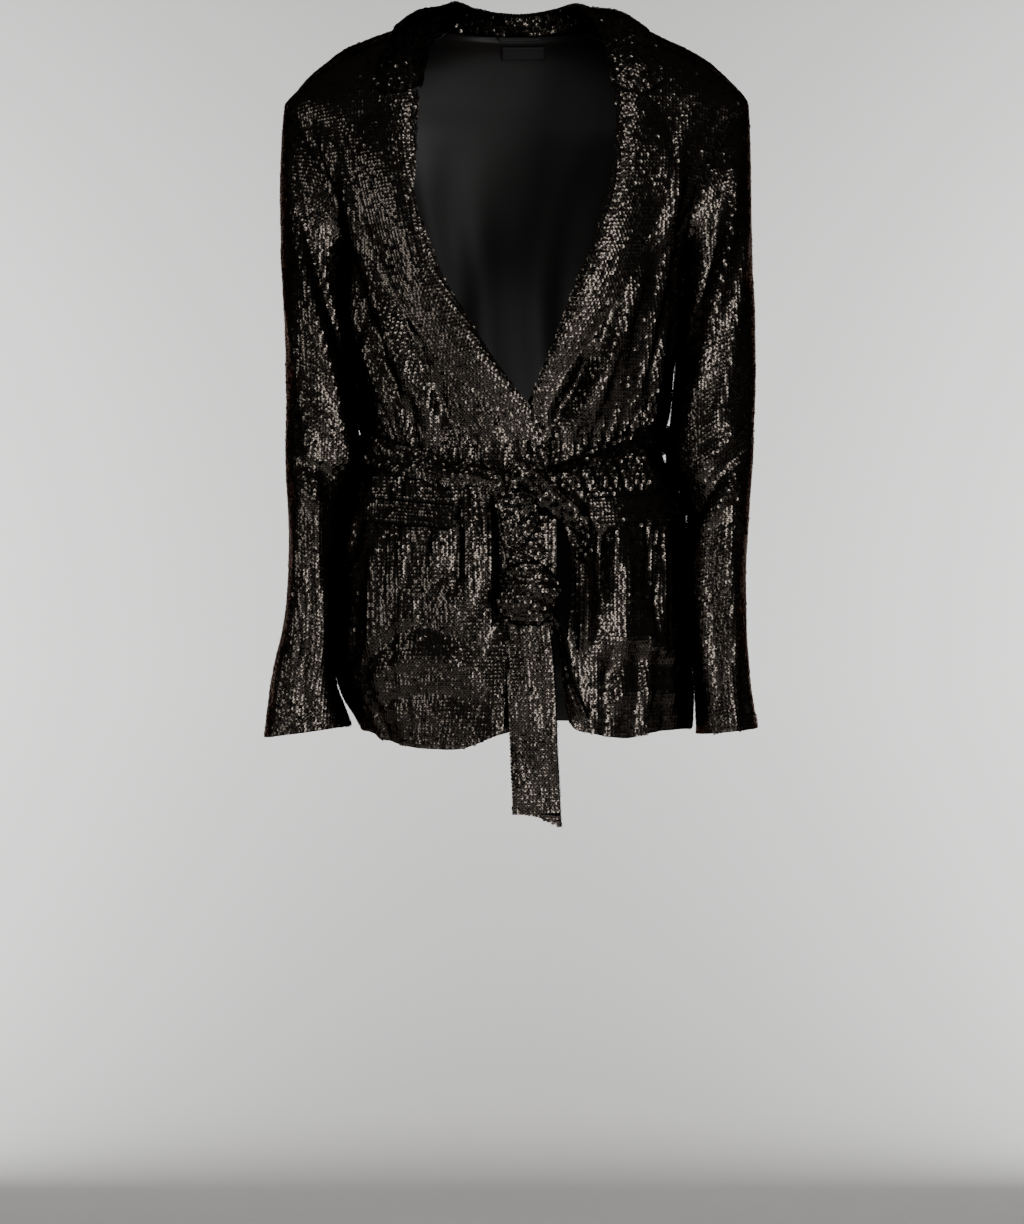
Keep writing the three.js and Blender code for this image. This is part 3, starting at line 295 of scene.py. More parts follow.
KNOT_WRAP = Table(
    "along x y z width turn",
    (0, 4, -139.6, -414, 18, 0), (0.16, 20, -141.6, -427, 22, 0), (0.34, 36, -139, -445, 23, 8),
    (0.52, 52, -131, -457, 21, 15), (0.66, 65, -127, -466, 18, 30), (0.8, 70, -129, -482, 15, 50),
    (1, 65, -132, -503, 13, 60),
)
TAIL_UPPER = Table(
    "along x y z width turn",
    (0, 0, -131, -437, 32, 0), (0.15, 1, -134, -447, 38, 0), (0.4, 4, -135, -464, 36, -6),
    (0.7, 8, -137, -485, 40, 4), (1, 11, -141, -503.7, 38, 0),
)
TAIL_LOWER = Table(
    "along x y z width turn",
    (0, 14, -142, -565.4, 38, 0), (0.15, 15, -142, -595, 44, 5), (0.4, 17, -142, -640, 45, -4),
    (0.65, 18.5, -141, -685, 45, 6), (0.85, 20, -140, -722, 46, -8), (1, 20.7, -139, -748, 47, -4),
)
TAIL_SHORT = Table(
    "along x y z width turn",
    (0, 39.5, -143.5, -555, 9, 40), (0.3, 47, -140, -586, 12, 55), (0.6, 52, -138, -620, 15, 50),
    (0.85, 58, -138, -642, 19, 40), (1, 62, -138, -656, 22, 35),
)


def power(value: Number, exponent: float) -> Number:
    """Signed power, so that a sine keeps its sign."""
    return np.sign(value) * np.abs(value) ** exponent


def rise(value: Number, start: float, end: float) -> Number:
    """0 below start, 1 above end, with a smooth rise between."""
    share = np.clip((value - start) / (end - start), 0.0, 1.0)
    return share * share * (3.0 - 2.0 * share)


def bell(value: Number, width: Number) -> Number:
    """1 at zero, with a smooth fall on both sides."""
    return np.exp(-((value / width) ** 2))


def half_turn(angle: Number) -> Values:
    """The angle as degrees from -180 to 180."""
    return np.where(np.asarray(angle) > 180, np.asarray(angle) - 360, angle)


def lerp(a: Number, b: Number, share: Number) -> Number:
    """Straight mix of two values."""
    return a + (b - a) * share


def stack(x: Number, y: Number, z: Number) -> Values:
    """Points from three arrays of coordinates that broadcast together."""
    return np.stack(np.broadcast_arrays(x, y, z), axis=-1).astype(float)


def unit(vectors: Values) -> Values:
    """The vectors at length 1."""
    return vectors / np.maximum(np.linalg.norm(vectors, axis=-1, keepdims=True), 1e-9)


def run(points: Values, axis: int = 0) -> Values:
    """Distance along each line of points from its start."""
    steps = np.linalg.norm(np.diff(points, axis=axis), axis=-1)
    return np.insert(steps.cumsum(axis=axis), 0, 0.0, axis=axis)


def fold_height(folds: Table, x: Number, z: Number, scale: float = 1.0) -> Number:
    """Height that a table of folds adds at places on the cloth.

    Args:
        folds: Bowed lines with a half width and a height each.
        x: Places across the cloth.
        z: Places along the cloth.
        scale: Millimetres in a unit of x.

    Returns:
        The summed height.
    """
    height = np.zeros(np.broadcast(x, z).shape)
    for x0, z0, x1, z1, bend, width, rises in zip(*folds.columns.values()):
        dx, dz = (x1 - x0) * scale, z1 - z0
        px, pz = (x - x0) * scale, z - z0
        length = math.hypot(dx, dz)
        share = (px * dx + pz * dz) / length**2
        ends = rise(share, -0.12, 0.2) * (1 - rise(share, 0.8, 1.12))
        off = (px * dz - pz * dx) / length + bend * 4 * share * (1 - share)
        height = height + rises * ends * bell(off, width)
    return height


def plain_body(angle: Number, z: Number) -> Pair:
    """Points and normals of the wearer's form without folds.

    Args:
        angle: Degrees from the front, to the wearer's left.
        z: Heights.

    Returns:
        The points and their level unit normals.
    """
    row = TORSO.at(z)
    sine, cosine = np.sin(np.radians(angle)), np.cos(np.radians(angle))
    half = np.where(sine < 0, row.right, row.left)
    depth = np.where(cosine > 0, row.front, row.back)
    across, back = power(sine, ROUNDNESS), -power(cosine, ROUNDNESS)
    slope = 2 / ROUNDNESS - 1
    point = stack(half * across, depth * back, z)
    normal = stack(power(across, slope) / half, power(back, slope) / depth, 0.0 * back)
    return point, unit(normal)


def pinch(angle: Number, z: Number) -> Number:
    """Share of a fold's height that is left under the tied belt."""
    return 1 - BELT_HOLD * bell(z - BELT.at(angle).z, BELT_REACH)


def relief(angle: Number, z: Number) -> Number:
    """Height of the large folds on the body at an angle and height."""
    turned = half_turn(angle)
    point, _ = plain_body(turned, z)
    cosine = np.cos(np.radians(turned))
    front = fold_height(FRONT_FOLDS, point[..., 0], z)
    back = fold_height(BACK_FOLDS, point[..., 0], z)
    at_sides = rise(np.abs(cosine), 0.02, 0.3)
    return np.where(cosine > 0, front, back) * at_sides * pinch(turned, z)


def torso(angle: Number, z: Number, lift: Number = 0.0) -> Values:
    """Points of the folded cloth on the body, raised along the body's normal."""
    turned = half_turn(angle)
    point, normal = plain_body(turned, z)
    return point + normal * (relief(turned, z) + lift)[..., None]


def angle_at(x: Number, z: Number) -> Number:
    """Angle from the front of the place with this x at this height."""
    row = TORSO.at(z)
    half = np.where(np.asarray(x) < 0, row.right, row.left)
    sine = np.minimum(np.abs(x) / half, 1.0) ** (1 / ROUNDNESS)
    return np.sign(x) * np.degrees(np.arcsin(sine))


def gather_reach(share: Number, angle: Number, z: Number) -> Number:
    """Height of the gathers that the belt draws in, before they wave."""
    off = z - BELT.at(angle).z
    reach = np.where(off > 0, REACH_ABOVE + 16 * np.sin(9 * share), REACH_BELOW + 30 * np.sin(7 * share + 2))
    near = np.exp(-((np.abs(off) / reach) ** 1.4))
    uneven = 0.68 + 0.32 * np.sin(17 * share + 1)
    edges = rise(share, 0, 0.08) * (1 - rise(share, 0.92, 1))
    tied = 1 - 0.72 * bell(off, 15)
    return GATHER * near * uneven * edges * tied


def armhole(turn: Number) -> SimpleNamespace:
    """Angle and height on the armhole; a quarter turn is its foremost point."""
    middle, half = (TIP_Z + UNDERARM_Z) / 2, (TIP_Z - UNDERARM_Z) / 2
    return SimpleNamespace(angle=90 - ARMHOLE_BULGE * np.sin(turn), z=middle + half * np.cos(turn))


def panel_side(t: Number, direction: int, seam: Table) -> Pair:
    """Outer edge of a panel: the armhole, then the side seam.

    Args:
        t: Share of the panel's height.
        direction: 1 on a front panel, -1 on a back one.
        seam: The side seam.

    Returns:
        Angles and heights.
    """
    upper = armhole(direction * np.pi * np.minimum(t, ARMHOLE_SHARE) / ARMHOLE_SHARE)
    share = np.maximum(t - ARMHOLE_SHARE, 0) / (1 - ARMHOLE_SHARE)
    low_z = lerp(UNDERARM_Z, seam.columns["z"][-1], share)
    above = t < ARMHOLE_SHARE
    angle = np.where(above, upper.angle, seam.at(low_z).angle) - direction * SEAM_ANGLE
    return angle, np.where(above, upper.z, low_z)


def wrap_lift(x: Number, z: Number) -> Number:
    """Rise of the right front where it laps over the left front and its lapel."""
    above = 2.5 * LAYER * rise(z, -455, -420) * (1 - rise(z, -320, -250))
    below = LAYER * rise(-z, 420, 455) * (1 - rise(-z, 470, 520))
    return (above + below) * rise(x, -70, -8)


def patch(inner: Edge, outer: Edge, top: Edge, bottom: Edge, s: Values, t: Values) -> Pair:
    """Angles and heights inside four edges that meet at their corners.

    Args:
        inner: Edge at s = 0, by t.
        outer: Edge at s = 1, by t.
        top: Edge at t = 0, by s.
        bottom: Edge at t = 1, by s.
        s: Shares across.
        t: Shares down.

    Returns:
        Angles and heights.
    """
    zero, one = np.zeros(1), np.ones(1)
    mixed = []
    for k in range(2):
        sides = lerp(inner(t)[k], outer(t)[k], s)
        above = top(s)[k] - lerp(inner(zero)[k], outer(zero)[k], s)
        below = bottom(s)[k] - lerp(inner(one)[k], outer(one)[k], s)
        mixed.append(sides + above * (1 - rise(t, 0, 0.2)) + below * rise(t, 0.6, 1))
    return mixed[0], mixed[1]


def along(count: int) -> Values:
    """Evenly spaced shares from 0 to 1, with one more than the count."""
    return np.linspace(0.0, 1.0, count + 1)


class Ripple:
    """Small uneven waves of the cloth, between its named folds."""

    def __init__(self, seed: int, longest: float, height: float, closed: bool = False) -> None:
        """Draws the waves.

        Args:
            seed: Start of the random numbers.
            longest: Longest wave in millimetres.
            height: Millimetres that the waves reach together.
            closed: True on a tube, where the first place is in turns.
        """
        rng = np.random.default_rng(seed)
        count = 12
        lengths = longest * rng.uniform(0.35, 1.0, count)
        lean = rng.normal(0.0, 0.45, count)
        self.across = np.cos(lean) / lengths
        self.down = np.sin(lean) / lengths
        if closed:
            self.across = rng.integers(2, 9, count).astype(float)
        self.phase = rng.uniform(0, 2 * np.pi, count)
        self.heights = height * lengths / longest / math.sqrt(count)

    def at(self, u: Number, v: Number) -> Number:
        """Height at places across and down the cloth."""
        total = np.zeros(np.broadcast(u, v).shape)
        for a, b, phase, height in zip(self.across, self.down, self.phase, self.heights):
            total = total + height * np.cos(2 * np.pi * (a * u + b * v) + phase)
        return total


@dataclass
class Grid:
    """A cloth surface sampled in rows of t and columns of s."""

    s: Values
    t: Values
    points: Values
    closed: bool
    normals: Values = field(init=False)

    def __post_init__(self) -> None:
        """Works out the normals of the sampled points."""
        self.normals = unit(np.cross(self.by_column(self.points), np.gradient(self.points, axis=0)))

    def by_column(self, values: Values) -> Values:
        """Change of values from one column to the next."""
        if self.closed:
            return (np.roll(values, -1, axis=1) - np.roll(values, 1, axis=1)) / 2
        return np.gradient(values, axis=1)

    def turned_to(self, facing: Values) -> "Grid":
        """Turns the normals over where the middle one looks away from a direction."""
        middle = self.normals[len(self.t) // 2, int(0.4 * len(self.s))]
        if np.dot(middle, facing) < 0:
            self.normals = -self.normals
        return self

    def at(self, s: Values, t: Values) -> Pair:
        """Points and normals between the rows and columns.

        Args:
            s: Shares across.
            t: Shares down.

        Returns:
            The points and unit normals.
        """
        columns = len(self.s)
        i = np.interp(t, self.t, np.arange(len(self.t)))
        j = np.interp(s, self.s, np.arange(columns)) if not self.closed else (s % 1.0) * columns
        i0 = np.minimum(i.astype(int), len(self.t) - 2)
        j0 = np.minimum(j.astype(int), columns - 1 if self.closed else columns - 2)
        j1 = (j0 + 1) % columns
        down, over = (i - i0)[:, None], (j - j0)[:, None]
        found = []
        for values in (self.points, self.normals):
            upper = lerp(values[i0, j0], values[i0, j1], over)
            lower = lerp(values[i0 + 1, j0], values[i0 + 1, j1], over)
            found.append(lerp(upper, lower, down))
        return found[0], unit(found[1])

    def whole(self) -> Values:
        """The points, with the first column again where the cloth closes."""
        return np.concatenate([self.points, self.points[:, :1]], axis=1) if self.closed else self.points

    def area(self) -> float:
        """Area of the sampled face in square metres."""
        points = self.whole()
        one = np.cross(points[1:, :-1] - points[:-1, :-1], points[:-1, 1:] - points[:-1, :-1])
        two = np.cross(points[1:, :-1] - points[1:, 1:], points[:-1, 1:] - points[1:, 1:])
        return float(np.linalg.norm(one, axis=-1).sum() + np.linalg.norm(two, axis=-1).sum()) / 2 * METRE**2

    def flat(self) -> Values:
        """Place of each point on the cloth laid flat, in millimetres, with the closing column."""
        return np.stack([run(self.whole(), 1), run(self.whole())], axis=-1)

    def widths(self) -> Values:
        """Distance across the cloth at each point."""
        return np.linalg.norm(self.by_column(self.points), axis=-1).cumsum(axis=1)


def sample(surface: Surface, columns: int, rows: Values, closed: bool = False) -> Grid:
    """A surface sampled at even columns and given rows."""
    s = along(columns)[:-1] if closed else along(columns)
    across, down = np.meshgrid(s, rows)
    return Grid(s, rows, surface(across, down), closed)


def distance_down(grid: Grid, start: int, first: Values) -> Values:
    """Distance down the cloth from a start row, so that equal distances give rows of the weave.

    Args:
        grid: The cloth without its folds.
        start: Index of the row where the distance is given.
        first: The distance there.

    Returns:
        The distance at each point.
    """
    found = np.zeros(grid.points.shape[:2])
    found[start] = first
    for direction in (1, -1):
        i = start
        while 0 <= i + direction < len(found):
            step = grid.points[i + direction] - grid.points[i]
            across = grid.by_column(grid.points[i : i + 1])[0]
            slope = grid.by_column(found[i : i + 1])[0]
            e = np.maximum((across**2).sum(-1), 1e-6)
            f, g = (across * step).sum(-1), (step**2).sum(-1)
            slope = np.clip(slope, -0.9 * np.sqrt(e), 0.9 * np.sqrt(e))
            area = np.maximum(e * g - f * f, 0.0)
            change = (f * slope + direction * np.sqrt(area * (e - slope**2))) / e
            row = found[i] + change
            inner = (np.roll(row, 1) + np.roll(row, -1)) / 2
            if not grid.closed:
                inner[[0, -1]] = row[[0, -1]]
            i += direction
            found[i] = lerp(row, inner, 0.3)
    return found


@dataclass(frozen=True)
class Lattice:
    """The square grid in which the rings are sewn on."""

    across: float = 3.5
    down: float = 3.56

    def places(self, grid: Grid, down: Values, zero: Values) -> Pair:
        """Shares across and down the cloth where the rings sit.

        Args:
            grid: The cloth without its folds.
            down: Distance down the cloth at each point of the grid.
            zero: Signed distance of each point from the line that the columns start at.

        Returns:
            Shares s and t.
        """
        count, columns = down.shape
        wrapped = np.concatenate([np.arange(columns), [0]]) if grid.closed else np.arange(columns)
        levels = self.down * np.arange(math.ceil(down.min() / self.down), down.max() / self.down)
        index = np.arange(count, dtype=float)
        rows = np.stack(
            [np.interp(levels, np.maximum.accumulate(down[:, j]), index, np.nan, np.nan) for j in wrapped], 1
        )
        found_s, found_t = [], []
        for row in rows:
            for part in self.stretches(row):
                i0, j = np.minimum(row[part].astype(int), count - 2), wrapped[part]
                over = (row[part] - i0)[:, None]
                length = run(lerp(grid.points[i0, j], grid.points[i0 + 1, j], over))
                steps = self.round_tube(length) if grid.closed else self.from_line(length, zero[i0, j])
                found_s.append(np.interp(steps, length, part.astype(float)))
                found_t.append(np.interp(steps, length, row[part]))
        spans = columns if grid.closed else columns - 1
        return np.concatenate(found_s) / spans, np.interp(np.concatenate(found_t), index, grid.t)

    @staticmethod
    def stretches(row: Values) -> list[Values]:
        """Columns of each stretch of a row that lies on the cloth."""
        ends = np.flatnonzero(np.diff(np.concatenate([[0], (~np.isnan(row)).astype(int), [0]])))
        return [np.arange(first, last) for first, last in zip(ends[::2], ends[1::2]) if last - first > 1]

    def round_tube(self, length: Values) -> Values:
        """Distances of the rings along a row round a tube, both ways from its first column."""
        half = length[-1] / 2
        steps = self.across * np.arange(math.ceil(-half / self.across), half / self.across)
        return np.where(steps < 0, steps + length[-1], steps)

    def from_line(self, length: Values, off: Values) -> Values:
        """Distances of the rings along a row, counted from the line that the columns start at."""
        nearest = int(np.argmin(np.abs(off)))
        origin = length[nearest] - off[nearest]
        low, high = -origin / self.across, (length[-1] - origin) / self.across
        return origin + self.across * np.arange(math.ceil(low), math.floor(high) + 1)


@dataclass
class Rings:
    """Ring sequins sewn on one piece, joined in one mesh."""

    outer: float = 2.2
    inner: float = 1.2
    dish: float = 0.14  # how much lower the hole's edge lies
    lift: float = 0.42
    lean: float = 7.0  # degrees that each ring lies on the next one
    scatter: float = 4.0
    loose: float = 0.12  # share of the rings that stand out further
    stand: float = 2.3  # how much further they do
    steepest: float = 34.0  # degrees
    size_spread: float = 0.02
    lowest: float = -0.1  # how far a ring's place may vary along the normal
    highest: float = 0.14
    cells: int = 8  # colours along each side of the rings' map
    drawn: float = 0.36  # reach of a ring in its cell of the map
    drawn_hole: float = 0.3  # share of that reach at the hole

    CORNERS = 6
    HOLE_CORNERS = 3
    FACES = 9

    def build(self, name: str, points: Values, normals: Values, down: Values, seed: int,
              finish: Material) -> Object:
        """Makes the rings of one piece.

        Args:
            name: The object's name.
            points: Places on the cloth.
            normals: Directions out of the cloth.
            down: Directions down the cloth.
            seed: Start of the random numbers.
            finish: The rings' material.

        Returns:
            The joined object.
        """
        rng = np.random.default_rng(seed)
        count = len(points)
        one, two, up = self.leaning(rng, normals, down)
        turn = rng.uniform(0, 2 * np.pi, count)
        size = rng.normal(1.0, self.size_spread, count)
        centre = points + normals * (self.lift + rng.uniform(self.lowest, self.highest, count))[:, None]
        rim = []
        for angle in self.rim_angles():
            away = one * np.cos(turn + angle)[:, None] + two * np.sin(turn + angle)[:, None]
            rim.append(centre + self.outer * size[:, None] * away)
        for angle in self.hole_angles():
            away = one * np.cos(turn + angle)[:, None] + two * np.sin(turn + angle)[:, None]
            rim.append(centre + self.inner * away - up * self.dish)
        vertices = np.stack(rim, axis=1).reshape(-1, 3)
        faces = (self.corners()[None] + len(rim) * np.arange(count)[:, None, None]).reshape(-1, 3)
        cell = rng.integers(0, self.cells, (count, 2))
        uv = (cell[:, None] + 0.5 + self.drawn * self.outline()[None]) / self.cells
        return make_mesh(name, vertices, faces, [finish], None, uv.reshape(-1, 2)[faces].reshape(-1, 2),
                         RING_MAP)

    def leaning(self, rng: np.random.Generator, normals: Values,
                down: Values) -> tuple[Values, Values, Values]:
        """Turns each ring off the cloth by its own lean.

        Args:
            rng: Source of the random numbers.
            normals: Directions out of the cloth.
            down: Directions down the cloth.

        Returns:
            Two directions in the plane of each ring, and the one that it faces.
        """
        count = len(normals)
        down = unit(down - normals * (down * normals).sum(-1, keepdims=True))
        across = np.cross(down, normals)
        spread = np.where(rng.random(count) < self.loose, self.stand, 1.0) * math.radians(self.scatter)
        tilt_down = math.radians(self.lean) + rng.normal(0, 1, count) * spread
        tilt_over = rng.normal(0, 1, count) * spread
        limit = math.radians(self.steepest)
        tilt_down, tilt_over = np.clip(tilt_down, -limit, limit), np.clip(tilt_over, -limit, limit)
        up = unit(normals + down * np.tan(tilt_down)[:, None] + across * np.tan(tilt_over)[:, None])
        one = unit(across - up * (across * up).sum(-1, keepdims=True))
        return one, np.cross(up, one), up

    def rim_angles(self) -> list[float]:
        """Angles of the corners on the outer edge."""
        return [k * np.pi / 3 for k in range(self.CORNERS)]

    def hole_angles(self) -> list[float]:
        """Angles of the corners of the hole."""
        return [np.pi / 3 + k * 2 * np.pi / 3 for k in range(self.HOLE_CORNERS)]

    def corners(self) -> Values:
        """Triangles of one ring, between its outer edge and its hole."""
        found = []
        for k in range(self.HOLE_CORNERS):
            a, b, c = 2 * k, 2 * k + 1, (2 * k + 2) % self.CORNERS
            p, q = self.CORNERS + k, self.CORNERS + (k + 1) % self.HOLE_CORNERS
            found += [[a, b, p], [b, c, p], [c, q, p]]
        return np.array(found)

    def outline(self) -> Values:
        """One ring seen flat, with an outer reach of 1."""
        places = [(angle, 1.0) for angle in self.rim_angles()]
        places += [(angle, self.drawn_hole) for angle in self.hole_angles()]
        return np.array([[reach * math.cos(angle), reach * math.sin(angle)] for angle, reach in places])


def make_mesh(name: str, vertices: Values, faces: Values, finishes: Sequence[Material],
              slots: Union[Values, None], uv: Values, uv_name: str) -> Object:
    """An object from arrays.

    Args:
        name: The object's name.
        vertices: Points in millimetres.
        faces: Corners of each face, all with the same number.
        finishes: Materials.
        slots: Material of each face, or None for the first.
        uv: One place for each corner of each face.
        uv_name: Name of the UV map.

    Returns:
        The object, linked to the scene.
    """
    mesh = bpy.data.meshes.new(name)
    mesh.vertices.add(len(vertices))
    mesh.vertices.foreach_set("co", (vertices * METRE).astype(np.float32).ravel())
    mesh.loops.add(faces.size)
    mesh.loops.foreach_set("vertex_index", faces.astype(np.int32).ravel())
    mesh.polygons.add(len(faces))
    mesh.polygons.foreach_set("loop_start", np.arange(0, faces.size, faces.shape[1], dtype=np.int32))
    if slots is not None:
        mesh.polygons.foreach_set("material_index", slots.astype(np.int32))
    mesh.polygons.foreach_set("use_smooth", np.ones(len(faces), bool))
    mesh.uv_layers.new(name=uv_name).data.foreach_set("uv", uv.astype(np.float32).ravel())
    for finish in finishes:
        mesh.materials.append(finish)
    mesh.update(calc_edges=True)
    piece = bpy.data.objects.new(name, mesh)
    bpy.context.scene.collection.objects.link(piece)
    return piece


def around_cells(rows: int, columns: int) -> list[Pair]:
    """Rows and columns of the four corners of each cell of a grid, in order round it."""
    i, j = (part.ravel() for part in np.meshgrid(np.arange(rows), np.arange(columns), indexing="ij"))
    return [(i, j), (i, j + 1), (i + 1, j + 1), (i + 1, j)]


def closed_mesh(name: str, vertices: Values, faces: Sequence[Values], uv: Sequence[Values],
                finishes: Sequence[Material], slots: Union[Values, None] = None) -> Object:
    """An object from faces of four corners, turned over where they look inward.

    Args:
        name: The object's name.
        vertices: Points in millimetres.
        faces: Groups of faces.
        uv: Places of their corners on the flat cloth, in millimetres.
        finishes: Materials.
        slots: Material of each face, or None for the first.

    Returns:
        The object.
    """
    all_faces, corners = np.concatenate(faces), np.concatenate(uv)
    a, b, c, d = (vertices[all_faces[:, k]] for k in range(4))
    if (a * (np.cross(b, c) + np.cross(c, d))).sum() < 0:
        all_faces, corners = all_faces[:, ::-1], corners[:, ::-1]
    return make_mesh(name, vertices, all_faces, finishes, slots, corners.reshape(-1, 2) * METRE, CLOTH_MAP)


def wall_mesh(name: str, grid: Grid, thickness: float, outside: Material, inside: Material) -> Object:
    """A closed wall of cloth from the grid of its outer face.

    Args:
        name: The object's name.
        grid: The outer face.
        thickness: Millimetres from the outer face to the inner one.
        outside: Material of the outer face and the edges.
        inside: Material of the inner face.

    Returns:
        The object.
    """
    rows, columns = grid.points.shape[:2]
    inner = grid.points - grid.normals * thickness
    vertices = np.concatenate([grid.points.reshape(-1, 3), inner.reshape(-1, 3)])
    flat = grid.flat()
    spans = columns if grid.closed else columns - 1
    around = around_cells(rows - 1, spans)
    outer_faces = np.stack([a * columns + b % columns for a, b in around], axis=1)
    outer_uv = np.stack([flat[a, b] for a, b in around], axis=1)
    under = rows * columns
    faces = [outer_faces, outer_faces[:, ::-1] + under]
    uv = [outer_uv, outer_uv[:, ::-1]]

    def rim(a: Pair, b: Pair) -> None:
        """Adds the edge strip between two lines of grid places."""
        first, second = (place[0] * columns + place[1] % columns for place in (a, b))
        faces.append(np.stack([first, second, second + under, first + under], axis=1))
        strip = np.stack([flat[a], flat[b], flat[b], flat[a]], axis=1)
        uv.append(strip + np.array([0, 0, thickness, thickness])[None, :, None])

    j = np.arange(spans)
    top, bottom = np.zeros_like(j), np.full_like(j, rows - 1)
    rim((top, j + 1), (top, j))
    rim((bottom, j), (bottom, j + 1))
    if not grid.closed:
        i = np.arange(rows - 1)
        left, right = np.zeros_like(i), np.full_like(i, columns - 1)
        rim((i, left), (i + 1, left))
        rim((i + 1, right), (i, right))
    slots = np.zeros(sum(len(part) for part in faces), int)
    slots[len(outer_faces) : 2 * len(outer_faces)] = 1
    return closed_mesh(name, vertices, faces, uv, [outside, inside], slots)


def lump_mesh(name: str, grid: Grid, finish: Material) -> Object:
    """A closed lump or tied band from rings of points, with flat ends.

    Args:
        name: The object's name.
        grid: A closed grid, each row once round the piece.
        finish: Its material.

    Returns:
        The object.
    """
    rows, columns = grid.points.shape[:2]
    ends = grid.points[[0, -1]].mean(axis=1)
    vertices = np.concatenate([grid.points.reshape(-1, 3), ends])
    flat = grid.flat()
    around = around_cells(rows - 1, columns)
    faces = [np.stack([a * columns + b % columns for a, b in around], axis=1)]
    uv = [np.stack([flat[a, b] for a, b in around], axis=1)]
    k = np.arange(0, columns, 2)
    for row, centre, order in ((0, rows * columns, -1), (rows - 1, rows * columns + 1, 1)):
        corners = [np.full_like(k, centre), row * columns + k, row * columns + (k + 1) % columns,
                   row * columns + (k + 2) % columns]
        faces.append(np.stack(corners if order > 0 else [corners[0], *corners[:0:-1]], axis=1))
        uv.append(np.stack([flat[row, np.minimum(k + n, columns)] for n in (0, 0, 1, 2)], axis=1))
    return closed_mesh(name, vertices, faces, uv, [finish])


class Value:
    """A node socket that takes part in sums as a number does."""

    def __init__(self, shader: "Shader", socket: bpy.types.NodeSocket) -> None:
        """Wraps a socket of a shader."""
        self.shader = shader
        self.socket = socket

    def math(self, operation: str, *others: Union["Value", float]) -> "Value":
        """A Math node on this value and others."""
        return self.shader.node("ShaderNodeMath", {"operation": operation}, *[self, *others])

    def __add__(self, other: Union["Value", float]) -> "Value":
        """Sum."""
        return self.math("ADD", other)

    def __radd__(self, other: float) -> "Value":
        """Sum with the number first."""
        return self.shader.node("ShaderNodeMath", {"operation": "ADD"}, other, self)

    def __mul__(self, other: Union["Value", float]) -> "Value":
        """Product."""
        return self.math("MULTIPLY", other)

    def __rmul__(self, other: float) -> "Value":
        """Product with the number first."""
        return self.shader.node("ShaderNodeMath", {"operation": "MULTIPLY"}, other, self)


class Shader:
    """A material and its nodes."""

    def __init__(self, name: str, **fixed: object) -> None:
        """Makes a material whose shader has fixed values.

        Args:
            name: The material's name.
            fixed: Values of the shader's own sockets, with spaces as underscores.
        """
        self.material = bpy.data.materials.new(name)
        self.material.use_nodes = True
        self.tree = self.material.node_tree
        self.surface = self.tree.nodes["Principled BSDF"]
        for socket, value in fixed.items():
            self.surface.inputs[socket.replace("_", " ")].default_value = value

    def node(self, kind: str, settings: dict[str, object],
             *inputs: Union[Value, float, tuple, None]) -> Value:
        """Adds a node.

        Args:
            kind: The node's type.
            settings: Its properties, and a ramp's stops.
            inputs: Values or links of its sockets in order, None to leave one.

        Returns:
            The first output that is on.
        """
        node = self.tree.nodes.new(kind)
        for key, value in settings.items():
            if key == "stops":
                self.set_stops(node.color_ramp, value)
            else:
                setattr(node, key, value)
        sockets = [socket for socket in node.inputs if socket.enabled]
        for socket, value in zip(sockets, inputs):
            if isinstance(value, Value):
                self.tree.links.new(value.socket, socket)
            elif value is not None:
                socket.default_value = value
        return Value(self, next(socket for socket in node.outputs if socket.enabled))

    @staticmethod
    def set_stops(ramp: bpy.types.ColorRamp, stops: Sequence[tuple[float, tuple]]) -> None:
        """Gives a ramp its stops."""
        while len(ramp.elements) < len(stops):
            ramp.elements.new(0.5)
        for element, (place, colour) in zip(ramp.elements, stops):
            element.position = place
            element.color = (*colour, 1.0)

    def ramp(self, value: Value, *stops: tuple[float, tuple]) -> Value:
        """A colour for each size of a value."""
        return self.node("ShaderNodeValToRGB", {"stops": stops}, value)

    def cloth_place(self, scale: float) -> Value:
        """Place on the flat cloth, in units of 1 / scale metres."""
        place = self.node("ShaderNodeUVMap", {"uv_map": CLOTH_MAP})
        return self.node("ShaderNodeVectorMath", {"operation": "SCALE"}, place, None, scale)

    def set(self, socket: str, value: Value) -> None:
        """Links a value to a socket of the shader."""
        self.tree.links.new(value.socket, self.surface.inputs[socket])

    def bump(self, height: Value, strength: float, distance: float) -> None:
        """Gives the shader a bumped normal."""
        node = self.tree.nodes.new("ShaderNodeBump")
        node.inputs["Strength"].default_value = strength
        node.inputs["Distance"].default_value = distance
        self.tree.links.new(height.socket, node.inputs["Height"])
        self.tree.links.new(node.outputs["Normal"], self.surface.inputs["Normal"])


